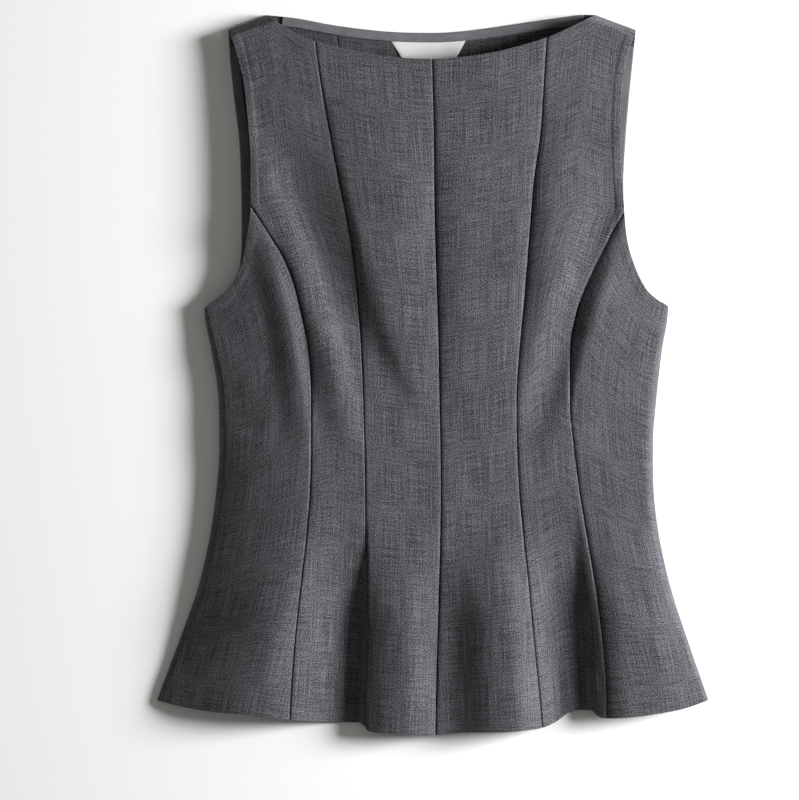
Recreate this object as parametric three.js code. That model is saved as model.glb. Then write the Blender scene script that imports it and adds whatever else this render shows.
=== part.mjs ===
// Sleeveless peplum top, laid flat on its back. Millimetres, +Z up.
// X runs across the garment, Y from hem to shoulders, and z = 0 is the surface it lies on.
import * as THREE from 'three';

// Driving dimensions
const WALL = 1.2;                // thickness of every cloth panel
const TAPE_WALL = 1.0;           // thickness of the facings and the label
const GAP = 0.3;                 // clearance at a seam and between layers that touch
const TAPE_WIDTH = 8;            // width of the strips that finish the back neck and armholes
const TAPE_INSET = 0.3;          // the strips lie this far inside the edge they finish
const CENTRE_SHIFT = { x: 1, y: -0.4 };   // puts the origin under the middle of the outline

const BACK_TOP = WALL;                    // upper face of the back panels
const LIP = BACK_TOP + GAP;               // where the rolled side edges of the front end
const SEAT = LIP + WALL;                  // outer face of the front where it lies on the back
const TAPE_TOP = BACK_TOP + GAP + TAPE_WALL;

// Heights where the lines of the garment start
const SHOULDER_TIP_Y = 288;
const FRONT_SEAM_TOP = { neckLeft: 278, centre: 263, neckRight: 281, armLeft: 141.5, armRight: 136 };
const BACK_SEAM_TOP = { left: 291.7, right: 292.8 };
const UNDERARM_Y = { left: 54.5, right: 56 };
const HEM_CORNER_Y = { left: -271.5, right: -271 };

// Seams of the front: x of each seam at each section
const FRONT_SEAMS = [
  { y: 280, neckLeft: -99.3, centre: -2, neckRight: 94 },
  { y: 240, neckLeft: -93.8, centre: -0.8, neckRight: 91.4 },
  { y: 200, neckLeft: -86.6, centre: 0.2, neckRight: 88.6 },
  { y: 160, neckLeft: -79, centre: 0.6, neckRight: 83.2 },
  { y: 141.5, armLeft: -153 },
  { y: 136, armRight: 158.5 },
  { y: 120, neckLeft: -70.6, centre: 1.4, neckRight: 79.9, armLeft: -139, armRight: 149 },
  { y: 100, armLeft: -126.5, armRight: 138.5 },
  { y: 80, neckLeft: -65, centre: 2.6, neckRight: 76.6, armLeft: -117.8, armRight: 129.3 },
  { y: 55, neckLeft: -62.7, centre: 3.4, neckRight: 74.5, armLeft: -111, armRight: 119.6 },
  { y: 20, neckLeft: -60.5, centre: 4.3, neckRight: 71.1, armLeft: -104, armRight: 113.3 },
  { y: -20, neckLeft: -58.8, centre: 4.9, neckRight: 68.9, armLeft: -101.9, armRight: 113 },
  { y: -60, neckLeft: -57.7, centre: 5.6, neckRight: 69.5, armLeft: -102, armRight: 116.6 },
  { y: -100, neckLeft: -57.2, centre: 6, neckRight: 71.3, armLeft: -103.2, armRight: 121.7 },
  { y: -140, neckLeft: -57, centre: 5.4, neckRight: 75.2, armLeft: -106.6, armRight: 128.3 },
  { y: -180, neckLeft: -56.3, centre: 4.5, neckRight: 80.1, armLeft: -111.1, armRight: 135 },
  { y: -220, neckLeft: -56.3, centre: 3.5, neckRight: 83.9, armLeft: -115.2, armRight: 140.2 },
  { y: -260, neckLeft: -57.3, centre: 2.5, neckRight: 88, armLeft: -118.4, armRight: 143.4 },
  { y: -295, neckLeft: -58.6, centre: 1.6, neckRight: 91, armLeft: -120.3, armRight: 144.2 },
];

// Outer edges of the front: armhole from the shoulder tip to the underarm, then the side seam
const FRONT_EDGES = [
  { y: 288, left: -171.5, right: 168.5 },
  { y: 266, left: -164, right: 160.7 },
  { y: 242, left: -158.5, right: 157 },
  { y: 208, left: -155, right: 155 },
  { y: 175, left: -153, right: 155.8 },
  { y: 141.5, left: -153, right: 158.3 },
  { y: 113, left: -156.4, right: 160.9 },
  { y: 91, left: -161, right: 167.2 },
  { y: 72, left: -171.3, right: 176.5 },
  { y: 63.5, left: -181, right: 185 },
  { y: 56, right: 195.5 },
  { y: 54.5, left: -191.5 },
  { y: 20, left: -185.6, right: 190.2 },
  { y: -20, left: -179.7, right: 185.6 },
  { y: -60, left: -179.1, right: 182.8 },
  { y: -100, left: -182, right: 183.7 },
  { y: -140, left: -188, right: 189 },
  { y: -180, left: -197.7, right: 198.4 },
  { y: -220, left: -211.9, right: 211.4 },
  { y: -260, left: -226.9, right: 225.2 },
  { y: -271, right: 229 },
  { y: -271.5, left: -231 },
];

// Back armholes, which stand further out than the front ones
const BACK_ARMHOLES = [
  { y: 288, left: -171.5, right: 168.5 },
  { y: 262, left: -170, right: 166 },
  { y: 225, left: -166, right: 162.3 },
  { y: 196, left: -162.5, right: 160 },
  { y: 162, left: -161, right: 158.2 },
  { y: 125, left: -160.5, right: 159 },
  { y: 96, left: -161.5, right: 164 },
  { y: 76, left: -166.5, right: 173 },
  { y: 64, left: -176.5, right: 183 },
  { y: 56, right: 195.5 },
  { y: 54.5, left: -191.5 },
];
const BACK_EDGES = [...BACK_ARMHOLES, ...FRONT_EDGES.filter((row) => row.y < 54)];

// Seams of the back
const BACK_SEAMS = [
  { y: 292, left: -81, right: 68 },
  { y: 160, left: -73, right: 66 },
  { y: 40, left: -62, right: 64 },
  { y: -60, left: -58, right: 66 },
  { y: -160, left: -68, right: 76 },
  { y: -280, left: -86, right: 92 },
];

// Necklines from one shoulder to the other, and hems from one side seam to the other
const FRONT_NECK = [
  { x: -139, y: 300.5 }, { x: -125, y: 290 }, { x: -111.5, y: 282.7 }, { x: -99, y: 278 },
  { x: -72.5, y: 271 }, { x: -48.5, y: 266.7 }, { x: -25, y: 264.3 }, { x: -1.5, y: 263.3 },
  { x: 23.5, y: 265 }, { x: 48.5, y: 268.8 }, { x: 70, y: 273.8 }, { x: 94, y: 281.2 },
  { x: 113.5, y: 290 }, { x: 135, y: 300.5 },
];
const BACK_NECK = [
  { x: -139, y: 300.5 }, { x: -115, y: 298 }, { x: -85, y: 292.5 }, { x: -55, y: 288.4 },
  { x: -28.5, y: 286.2 }, { x: 0, y: 285.6 }, { x: 25, y: 287 }, { x: 55, y: 290.8 },
  { x: 85, y: 295.3 }, { x: 115, y: 299.6 }, { x: 126, y: 300.8 }, { x: 135, y: 300.5 },
];
const FRONT_HEM = [
  { x: -231, y: -271.5 }, { x: -210, y: -276.5 }, { x: -185, y: -280.5 }, { x: -155, y: -283 },
  { x: -120, y: -287.5 }, { x: -91, y: -289.5 }, { x: -62, y: -290 }, { x: -54, y: -297 },
  { x: -28, y: -299 }, { x: 2, y: -300 }, { x: 25, y: -298 }, { x: 55, y: -297.5 },
  { x: 76, y: -296 }, { x: 91, y: -294 }, { x: 101.5, y: -289.5 }, { x: 111.5, y: -282.5 },
  { x: 121.5, y: -279.5 }, { x: 131, y: -279.7 }, { x: 137, y: -284.5 }, { x: 144, y: -286 },
  { x: 165, y: -285 }, { x: 190, y: -281.5 }, { x: 210, y: -277.5 }, { x: 229, y: -271 },
];
const BACK_HEM = [
  { x: -231, y: -271.5 }, { x: -120, y: -275 }, { x: 0, y: -277.5 }, { x: 120, y: -276 },
  { x: 229, y: -271 },
];

// Height of the outer face of the front, at seven even places across each section.
// roll is how far in from the side seam the front curves down to the back.
const CROWN_SECTIONS = [
  { y: 300, leftEdge: 17, leftSide: 17, left: 17, middle: 17,
    right: 21, rightSide: 21, rightEdge: 17, roll: 4 },
  { y: 200, leftEdge: 18, leftSide: 20.5, left: 23.5, middle: 23,
    right: 22, rightSide: 19.5, rightEdge: 15.5, roll: 4 },
  { y: 130, leftEdge: 18, leftSide: 21, left: 24.5, middle: 23.5,
    right: 22.5, rightSide: 21, rightEdge: 15.5, roll: 4 },
  { y: 80, leftEdge: 13.5, leftSide: 21, left: 24.5, middle: 24,
    right: 23.5, rightSide: 22.5, rightEdge: 14, roll: 4 },
  { y: 54, leftEdge: 10.5, leftSide: 20.5, left: 25, middle: 24.5,
    right: 24, rightSide: 22.5, rightEdge: 12.5, roll: 4 },
  { y: 15, leftEdge: 13, leftSide: 22, left: 25.5, middle: 25,
    right: 24.5, rightSide: 22.5, rightEdge: 17, roll: 5 },
  { y: -40, leftEdge: 13, leftSide: 25, left: 26, middle: 25,
    right: 24.5, rightSide: 22, rightEdge: 18.5, roll: 5.5 },
  { y: -104, leftEdge: 10.5, leftSide: 25.5, left: 25.5, middle: 23.5,
    right: 22.5, rightSide: 21, rightEdge: 18, roll: 5.5 },
  { y: -171, leftEdge: 9.5, leftSide: 21, left: 20, middle: 20,
    right: 20, rightSide: 19.5, rightEdge: 16, roll: 5.5 },
  { y: -230, leftEdge: 5.5, leftSide: 16.5, left: 15.5, middle: 15.5,
    right: 15.5, rightSide: 16, rightEdge: 14, roll: 5 },
  { y: -300, leftEdge: 3, leftSide: 12, left: 12, middle: 12,
    right: 12, rightSide: 12.5, rightEdge: 10.5, roll: 4 },
];
const CROWN_COLUMNS = ['leftEdge', 'leftSide', 'left', 'middle', 'right', 'rightSide', 'rightEdge'];

// Folds of the flared skirt, left to right: where each starts, and where and how high it meets the hem
const SKIRT_FOLDS = [
  { name: 'ridge_side_left', topX: -112, topY: -95, hemX: -145, hemHeight: 23.5 },
  { name: 'valley_left', topX: -64, topY: -110, hemX: -76, hemHeight: 3 },
  { name: 'foot_left', topX: -58, topY: -110, hemX: -64, hemHeight: 3.2 },
  { name: 'step_left', topX: -53, topY: -110, hemX: -57, hemHeight: 13 },
  { name: 'ridge_centre_left', topX: -28, topY: -118, hemX: -22, hemHeight: 20 },
  { name: 'valley_centre', topX: 8, topY: -120, hemX: 9, hemHeight: 11.5 },
  { name: 'flank_centre_right', topX: 38, topY: -118, hemX: 47, hemHeight: 22 },
  { name: 'ridge_centre_right', topX: 54, topY: -110, hemX: 68, hemHeight: 23.5 },
  { name: 'valley_right', topX: 101, topY: -88, hemX: 109, hemHeight: 3.6 },
  { name: 'foot_right', topX: 111, topY: -88, hemX: 125, hemHeight: 4.2 },
  { name: 'step_right', topX: 124, topY: -88, hemX: 138, hemHeight: 13.5 },
  { name: 'ridge_side_right', topX: 150, topY: -92, hemX: 163, hemHeight: 20.5 },
  { name: 'flat_side_right', topX: 166, topY: -92, hemX: 193, hemHeight: 19.5 },
];
const HEM_Y = -285;              // mean height of the hem, where the folds reach their full depth
const FOLD_GROWN = 0.65;         // share of its length in which a skirt fold gets its whole depth

// Soft drag folds of the bodice: each runs from its top to its low end, bent towards bendX
const BODICE_FOLDS = [
  { name: 'ridge_side_left', topX: -150, topY: 140, bendX: -112, lowX: -106, lowY: -70,
    leftReach: 22, rightReach: 12, height: 4 },
  { name: 'trough_princess_left', topX: -138, topY: 222, bendX: -84, lowX: -42, lowY: -50,
    leftReach: 28, rightReach: 42, height: -7 },
  { name: 'trough_centre_left', topX: -70, topY: 90, bendX: -54, lowX: -10, lowY: -48,
    leftReach: 20, rightReach: 16, height: -1.6 },
  { name: 'ridge_princess_left', topX: -97, topY: 60, bendX: -81, lowX: -63, lowY: -75,
    leftReach: 25, rightReach: 18, height: 3.4 },
  { name: 'trough_princess_right', topX: 158, topY: 190, bendX: 119, lowX: 74, lowY: -78,
    leftReach: 27, rightReach: 23, height: -6 },
];

// Stretches where the cloth on both sides falls towards a seam
const SEAM_SINKS = [
  { seam: 'neckLeft', topY: 262, lowY: -35, left: 1.9, leftReach: 28, right: 1.9, rightReach: 9 },
  { seam: 'centre', topY: 250, lowY: -65, left: 3.6, leftReach: 34, right: 3.4, rightReach: 24 },
  { seam: 'neckRight', topY: 250, lowY: -25, left: 1.8, leftReach: 15, right: 3.8, rightReach: 19 },
  { seam: 'armLeft', topY: 140, lowY: -25, left: 1.4, leftReach: 9, right: 1.0, rightReach: 7 },
  { seam: 'armRight', topY: 125, lowY: -30, left: 0.8, leftReach: 6, right: 2.4, rightReach: 12 },
  { seam: 'centre', topY: -115, lowY: -420, left: 1.0, leftReach: 9, right: 0.8, rightReach: 8 },
];

// The front leaves the back quickly in a small roll at the shoulder, then slowly down the bodice
const SHOULDER_ROLL = { reach: 8, share: 0.75 };
const SHOULDER_SLOPE_REACH = 80;
const BACK_FOLLOWS_FRONT = 0.35; // how much of each skirt ridge the back hem rises with

// Number of strips each panel is built from
const ROWS_ARMHOLE = 7;
const ROWS_BODY = 20;
const ROWS_BACK_BODY = 12;
const ROWS_BACK_ARMHOLE = 12;
const COLUMNS_SHOULDER = 4;
const COLUMNS_NECK = 6;
const COLUMNS_CENTRE = 9;
const COLUMNS_ROLL = 4;
const COLUMNS_SIDE = 8;
const SHOULDER_ROWS_AT = [0.006, 0.02];   // extra rows in the small roll below the shoulder

// Smooth curve through the rows of a table that hold the column, without overshoot
function follow(table, key, column, at) {
  const rows = table.filter((row) => row[column] !== undefined).sort((a, b) => a[key] - b[key]);
  const last = rows.length - 1;
  if (at <= rows[0][key]) return rows[0][column];
  if (at >= rows[last][key]) return rows[last][column];
  const next = rows.findIndex((row) => row[key] > at);
  const slope = (i) => (rows[i + 1][column] - rows[i][column]) / (rows[i + 1][key] - rows[i][key]);
  const tangent = (i) => {
    if (i === 0) return slope(0);
    if (i === last) return slope(last - 1);
    const before = slope(i - 1);
    const after = slope(i);
    if (before * after <= 0) return 0;
    const mean = (rows[i + 1][column] - rows[i - 1][column]) / (rows[i + 1][key] - rows[i - 1][key]);
    return Math.sign(mean) * Math.min(Math.abs(mean), 3 * Math.abs(before), 3 * Math.abs(after));
  };
  const from = next - 1;
  const span = rows[next][key] - rows[from][key];
  const t = (at - rows[from][key]) / span;
  return (
    (1 + 2 * t) * (1 - t) ** 2 * rows[from][column] +
    t * (1 - t) ** 2 * span * tangent(from) +
    t * t * (3 - 2 * t) * rows[next][column] +
    t * t * (t - 1) * span * tangent(next)
  );
}

const clamp01 = (value) => Math.min(Math.max(value, 0), 1);
const mix = (a, b, t) => a + (b - a) * t;
const easeInOut = (t) => t * t * (3 - 2 * t);

// Catmull-Rom curve through evenly spaced values, t from 0 to 1, with parabolic ends
function throughValues(values, t) {
  const last = values.length - 1;
  const place = clamp01(t) * last;
  const i = Math.min(Math.floor(place), last - 1);
  const f = place - i;
  const [b, c] = [values[i], values[i + 1]];
  const before = i > 0 ? values[i - 1] : 3 * b - 3 * c + values[2];
  const after = i < last - 1 ? values[i + 2] : 3 * c - 3 * b + values[last - 2];
  const bend = 2 * before - 5 * b + 4 * c - after;
  return b + 0.5 * f * (c - before + f * (bend + f * (3 * (b - c) + after - before)));
}

// Height of the crown, before folds
function crownHeight(x, y) {
  const left = follow(FRONT_EDGES, 'y', 'left', y);
  const right = follow(FRONT_EDGES, 'y', 'right', y);
  const values = CROWN_COLUMNS.map((column) => follow(CROWN_SECTIONS, 'y', column, y));
  return throughValues(values, (x - left) / (right - left));
}

// Rise or fall of the skirt folds above the crown
function skirtFold(x, y) {
  const lines = SKIRT_FOLDS.map((fold) => {
    const down = clamp01((fold.topY - y) / (fold.topY - HEM_Y));
    const full = fold.hemHeight - crownHeight(fold.hemX, HEM_Y);
    return { x: mix(fold.topX, fold.hemX, down), rise: full * easeInOut(clamp01(down / FOLD_GROWN)) };
  });
  lines.unshift({ x: follow(FRONT_EDGES, 'y', 'left', y), rise: 0 });
  lines.push({ x: follow(FRONT_EDGES, 'y', 'right', y), rise: 0 });
  return follow(lines, 'x', 'rise', x);
}

// Share of a fold's length from its top to a height
const alongFold = (fold, y) => clamp01((fold.topY - y) / (fold.topY - fold.lowY));

// Rise or fall of the soft folds of the bodice, and of the cloth beside its seams
function bodiceFold(x, y) {
  const folds = BODICE_FOLDS.map((fold) => {
    const t = alongFold(fold, y);
    const middle = (1 - t) ** 2 * fold.topX + 2 * t * (1 - t) * fold.bendX + t * t * fold.lowX;
    const reach = x < middle ? fold.leftReach : fold.rightReach;
    const across = Math.cos((Math.PI / 2) * clamp01(Math.abs(x - middle) / reach)) ** 2;
    return fold.height * Math.sin(Math.PI * t) * across;
  });
  const sinks = SEAM_SINKS.map((sink) => {
    const aside = x - follow(FRONT_SEAMS, 'y', sink.seam, y);
    const [depth, reach] = aside < 0 ? [sink.left, sink.leftReach] : [sink.right, sink.rightReach];
    return -depth * Math.sin(Math.PI * alongFold(sink, y)) * (1 - clamp01(Math.abs(aside) / reach)) ** 1.7;
  });
  return [...folds, ...sinks].reduce((sum, rise) => sum + rise, 0);
}

// Share of the full height that the front has reached at a distance from the shoulder seams
function shoulderRise(x, y) {
  const distance = ['left', 'right'].map((side) => {
    const tip = { x: follow(FRONT_EDGES, 'y', side, SHOULDER_TIP_Y), y: SHOULDER_TIP_Y };
    const neck = side === 'left' ? FRONT_NECK[0] : FRONT_NECK[FRONT_NECK.length - 1];
    const length = Math.hypot(neck.x - tip.x, neck.y - tip.y);
    const across = (neck.x - tip.x) * (tip.y - y) - (neck.y - tip.y) * (tip.x - x);
    return (Math.sign(neck.x - tip.x) * across) / length;
  });
  const near = Math.max(Math.min(...distance), 0);
  const roll = Math.sin((Math.PI / 2) * clamp01(near / SHOULDER_ROLL.reach));
  const slope = Math.sin((Math.PI / 2) * clamp01(near / SHOULDER_SLOPE_REACH));
  return mix(slope, roll, SHOULDER_ROLL.share);
}

// Outer face of the front above a place in the outline
function frontHeight(x, y) {
  const full = crownHeight(x, y) + skirtFold(x, y) + bodiceFold(x, y);
  return SEAT + (full - SEAT) * shoulderRise(x, y);
}

// Upper face of the back, which lies flat but for small waves at its hem
function backHeight(x, y) {
  return BACK_TOP + BACK_FOLLOWS_FRONT * Math.max(skirtFold(x, y), 0);
}

// A line x(y) of a table as an edge of a panel, moved sideways off the seam by half the gap
function seamEdge(table, column, topY, hemY, towards) {
  return (v) => {
    const y = mix(topY, hemY, v);
    const slope = follow(table, 'y', column, y + 0.5) - follow(table, 'y', column, y - 0.5);
    const x = follow(table, 'y', column, y) + towards * (GAP / 2) * Math.hypot(1, slope);
    return new THREE.Vector2(x, y);
  };
}

// A free edge x(y), and an edge that is free down to a seam and then follows the seam
function freeEdge(table, column, topY, hemY) {
  return seamEdge(table, column, topY, hemY, 0);
}
function armholeThenSeam(armhole, side, seam, column, turnY, hemY, towards) {
  const free = freeEdge(armhole, side, SHOULDER_TIP_Y, hemY);
  const sewn = seamEdge(seam, column, SHOULDER_TIP_Y, hemY, towards);
  return (v) => (mix(SHOULDER_TIP_Y, hemY, v) > turnY + 1e-6 ? free(v) : sewn(v));
}

// An edge y(x) between two values of x, such as a stretch of hem or neckline
function crossEdge(table, fromX, toX) {
  return (u) => {
    const x = mix(fromX, toX, u);
    return new THREE.Vector2(x, follow(table, 'x', 'y', x));
  };
}

// The shoulder seam and the stretch of neckline beside it, joined at the neck point
function shoulderThenNeck(table, tipX, neckX, seamX, neckAt) {
  const neck = new THREE.Vector2(neckX, follow(table, 'x', 'y', neckX));
  const tip = new THREE.Vector2(tipX, SHOULDER_TIP_Y);
  const stretch = crossEdge(table, neckX, seamX);
  return (u) => (u <= neckAt ? tip.clone().lerp(neck, u / neckAt) : stretch((u - neckAt) / (1 - neckAt)));
}
const reversed = (edge) => (t) => edge(1 - t);

// Where a seam x(y) meets the hem y(x)
function seamFoot(seams, column, hem) {
  let y = HEM_Y;
  for (let turn = 0; turn < 6; turn += 1) y = follow(hem, 'x', 'y', follow(seams, 'y', column, y));
  return { x: follow(seams, 'y', column, y), y };
}

// Place in the outline between four edges
function patch(left, right, top, hem) {
  return (u, v) => {
    const place = left(v).multiplyScalar(1 - u).addScaledVector(right(v), u);
    place.addScaledVector(top(u), 1 - v).addScaledVector(hem(u), v);
    place.addScaledVector(top(0), -(1 - u) * (1 - v)).addScaledVector(top(1), -u * (1 - v));
    return place.addScaledVector(hem(0), -(1 - u) * v).addScaledVector(hem(1), -u * v);
  };
}

// Lifts a patch of the outline to its height
function lifted(place, height) {
  return (u, v) => {
    const at = place(u, v);
    return new THREE.Vector3(at.x, at.y, height(at.x, at.y));
  };
}

// Side panel of the front: its first columns go round the rolled edge at the side seam.
// side is 'left' or 'right', and u runs from left to right on both.
function rolledSide(place, side) {
  const share = COLUMNS_ROLL / (COLUMNS_ROLL + COLUMNS_SIDE);
  return (u, v) => {
    const inwards = side === 'left' ? u : 1 - u;
    const rowAt = (t) => place(side === 'left' ? t : 1 - t, v);
    const width = rowAt(0).distanceTo(rowAt(1));
    const roll = follow(CROWN_SECTIONS, 'y', 'roll', rowAt(0).y) / width;
    const angle = (Math.PI / 2) * clamp01(inwards / share);
    const flat = clamp01((inwards - share) / (1 - share));
    const at = rowAt(roll * (1 - Math.cos(angle)) + (1 - roll) * flat);
    const height = LIP + (frontHeight(at.x, at.y) - LIP) * Math.sin(angle);
    return new THREE.Vector3(at.x, at.y, height);
  };
}

// Unit normal of a surface, from small steps to either side
function normalAt(surface, u, v) {
  const step = 1e-3;
  const across = surface(Math.min(u + step, 1), v).sub(surface(Math.max(u - step, 0), v));
  const down = surface(u, Math.min(v + step, 1)).sub(surface(u, Math.max(v - step, 0)));
  return down.cross(across).normalize();
}

// Closed cloth wall: the surface is its upper face, and the lower face lies a wall's thickness below
function clothWall(surface, columns, rows, wall) {
  const across = columns.length;
  const positions = [];
  const lower = [];
  rows.forEach((v) => {
    columns.forEach((u) => {
      const upper = surface(u, v);
      positions.push(...upper.toArray());
      lower.push(...upper.addScaledVector(normalAt(surface, u, v), -wall).toArray());
    });
  });
  const under = positions.length / 3;
  positions.push(...lower);
  const index = [];
  const quad = (a, b, c, d) => index.push(a, b, c, a, c, d);
  const at = (row, column) => row * across + column;
  for (let row = 0; row < rows.length - 1; row += 1) {
    for (let column = 0; column < across - 1; column += 1) {
      const corners = [at(row, column), at(row + 1, column), at(row + 1, column + 1), at(row, column + 1)];
      quad(...corners);
      quad(...corners.map((corner) => corner + under).reverse());
    }
    const [left, lowLeft] = [at(row, 0), at(row + 1, 0)];
    const [right, lowRight] = [at(row, across - 1), at(row + 1, across - 1)];
    quad(lowLeft, left, left + under, lowLeft + under);
    quad(right, lowRight, lowRight + under, right + under);
  }
  for (let column = 0; column < across - 1; column += 1) {
    const [top, topNext] = [at(0, column), at(0, column + 1)];
    const [foot, footNext] = [at(rows.length - 1, column), at(rows.length - 1, column + 1)];
    quad(top, topNext, topNext + under, top + under);
    quad(footNext, foot, foot + under, footNext + under);
  }
  const geometry = new THREE.BufferGeometry();
  geometry.setAttribute('position', new THREE.Float32BufferAttribute(positions, 3));
  geometry.setIndex(index);
  geometry.computeVertexNormals();
  return geometry;
}

// Evenly spaced values from one number to another, both ends included
const steps = (from, to, count) => Array.from({ length: count + 1 }, (_, i) => mix(from, to, i / count));

// Rows of a panel that reaches the shoulder, with a row exactly where its outer edge turns
function shoulderRows(turnAt, armhole, body) {
  const upper = steps(0, turnAt, armhole).slice(1);
  return [0, ...SHOULDER_ROWS_AT, ...upper, ...steps(turnAt, 1, body).slice(1)];
}

// Columns of a panel with the neck point between its shoulder and its stretch of neckline
const columnsAround = (neckAt) => [
  ...steps(0, neckAt, COLUMNS_SHOULDER),
  ...steps(neckAt, 1, COLUMNS_NECK).slice(1),
];

const NECK_AT = COLUMNS_SHOULDER / (COLUMNS_SHOULDER + COLUMNS_NECK);
const foot = (column) => seamFoot(FRONT_SEAMS, column, FRONT_HEM);
const backFoot = (column) => seamFoot(BACK_SEAMS, column, BACK_HEM);
const turnShare = (turnY, hemY) => (SHOULDER_TIP_Y - turnY) / (SHOULDER_TIP_Y - hemY);
const armSeam = (side) => (side === 'left' ? 'armLeft' : 'armRight');
const neckSeam = (side) => (side === 'left' ? 'neckLeft' : 'neckRight');

// Rows of the front panels on one side, and of the back panels
function frontRows(side) {
  const turnAt = turnShare(FRONT_SEAM_TOP[armSeam(side)], foot(armSeam(side)).y);
  return shoulderRows(turnAt, ROWS_ARMHOLE, ROWS_BODY);
}
function backRows() {
  return shoulderRows(turnShare(UNDERARM_Y.left, HEM_CORNER_Y.left), ROWS_BACK_ARMHOLE, ROWS_BACK_BODY);
}

// Materials
function suiting() {
  return new THREE.MeshStandardMaterial({ color: 0x54545b, roughness: 0.92, metalness: 0 });
}
function tapeCloth() {
  return new THREE.MeshStandardMaterial({ color: 0x57545c, roughness: 0.85, metalness: 0 });
}
function labelSatin() {
  return new THREE.MeshStandardMaterial({ color: 0xe6e6e4, roughness: 0.5, metalness: 0 });
}

function piece(name, geometry, material) {
  const mesh = new THREE.Mesh(geometry, material);
  mesh.name = name;
  return mesh;
}

// Centre front panel: neckline at the top, centre seam on one side, neckline seam on the other
function frontCentre(side) {
  const outer = neckSeam(side);
  const [leftSeam, rightSeam] = side === 'left' ? [outer, 'centre'] : ['centre', outer];
  const edge = (seam, towards) => seamEdge(FRONT_SEAMS, seam, FRONT_SEAM_TOP[seam], foot(seam).y, towards);
  const topX = (seam) => follow(FRONT_SEAMS, 'y', seam, FRONT_SEAM_TOP[seam]);
  const place = patch(
    edge(leftSeam, 1),
    edge(rightSeam, -1),
    crossEdge(FRONT_NECK, topX(leftSeam), topX(rightSeam)),
    crossEdge(FRONT_HEM, foot(leftSeam).x, foot(rightSeam).x),
  );
  return clothWall(lifted(place, frontHeight), steps(0, 1, COLUMNS_CENTRE), frontRows('left'), WALL);
}

// Princess panel: from shoulder and upper armhole to the hem, between the armhole and neckline seams
function frontPrincess(side) {
  const inwards = side === 'left' ? 1 : -1;
  const [arm, neck] = [armSeam(side), neckSeam(side)];
  const tipX = follow(FRONT_EDGES, 'y', side, SHOULDER_TIP_Y);
  const neckX = side === 'left' ? FRONT_NECK[0].x : FRONT_NECK[FRONT_NECK.length - 1].x;
  const seamX = follow(FRONT_SEAMS, 'y', neck, FRONT_SEAM_TOP[neck]);
  const turnY = FRONT_SEAM_TOP[arm];
  const outer = armholeThenSeam(FRONT_EDGES, side, FRONT_SEAMS, arm, turnY, foot(arm).y, inwards);
  const inner = seamEdge(FRONT_SEAMS, neck, FRONT_SEAM_TOP[neck], foot(neck).y, -inwards);
  const top = shoulderThenNeck(FRONT_NECK, tipX, neckX, seamX, NECK_AT);
  const hem = crossEdge(FRONT_HEM, foot(arm).x, foot(neck).x);
  const place = patch(outer, inner, top, hem);
  return sidedWall(side, lifted(place, frontHeight), columnsAround(NECK_AT), frontRows(side));
}

// Side panel: lower armhole at the top, the armhole seam on one side, the side seam on the other
function frontSide(side) {
  const inwards = side === 'left' ? 1 : -1;
  const arm = armSeam(side);
  const armX = follow(FRONT_SEAMS, 'y', arm, FRONT_SEAM_TOP[arm]);
  const cornerX = FRONT_EDGES.findLast((row) => row[side] !== undefined)[side];
  const outer = freeEdge(FRONT_EDGES, side, UNDERARM_Y[side], HEM_CORNER_Y[side]);
  const inner = seamEdge(FRONT_SEAMS, arm, FRONT_SEAM_TOP[arm], foot(arm).y, -inwards);
  const armhole = (u) => {
    const y = mix(UNDERARM_Y[side], FRONT_SEAM_TOP[arm], u);
    return new THREE.Vector2(u === 1 ? armX : follow(FRONT_EDGES, 'y', side, y), y);
  };
  const hem = crossEdge(FRONT_HEM, cornerX, foot(arm).x);
  const leftToRight = side === 'left'
    ? patch(outer, inner, armhole, hem)
    : patch(inner, outer, reversed(armhole), reversed(hem));
  const share = COLUMNS_ROLL / (COLUMNS_ROLL + COLUMNS_SIDE);
  const columns = [...steps(0, share, COLUMNS_ROLL), ...steps(share, 1, COLUMNS_SIDE).slice(1)];
  const ordered = side === 'left' ? columns : columns.map((u) => 1 - u).reverse();
  return clothWall(rolledSide(leftToRight, side), ordered, steps(0, 1, ROWS_BODY), WALL);
}

// Wall of a panel whose u runs inwards from its own side; a right panel is turned to run left to right
function sidedWall(side, surface, columns, rows) {
  if (side === 'left') return clothWall(surface, columns, rows, WALL);
  const turned = (u, v) => surface(1 - u, v);
  return clothWall(turned, columns.map((u) => 1 - u).reverse(), rows, WALL);
}

// Centre of the back, between its two seams
function backCentre() {
  const edge = (side, towards) => (
    seamEdge(BACK_SEAMS, side, BACK_SEAM_TOP[side], backFoot(side).y, towards)
  );
  const topX = (side) => follow(BACK_SEAMS, 'y', side, BACK_SEAM_TOP[side]);
  const place = patch(
    edge('left', 1),
    edge('right', -1),
    crossEdge(BACK_NECK, topX('left'), topX('right')),
    crossEdge(BACK_HEM, backFoot('left').x, backFoot('right').x),
  );
  return clothWall(lifted(place, backHeight), steps(0, 1, COLUMNS_CENTRE), backRows(), WALL);
}

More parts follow.
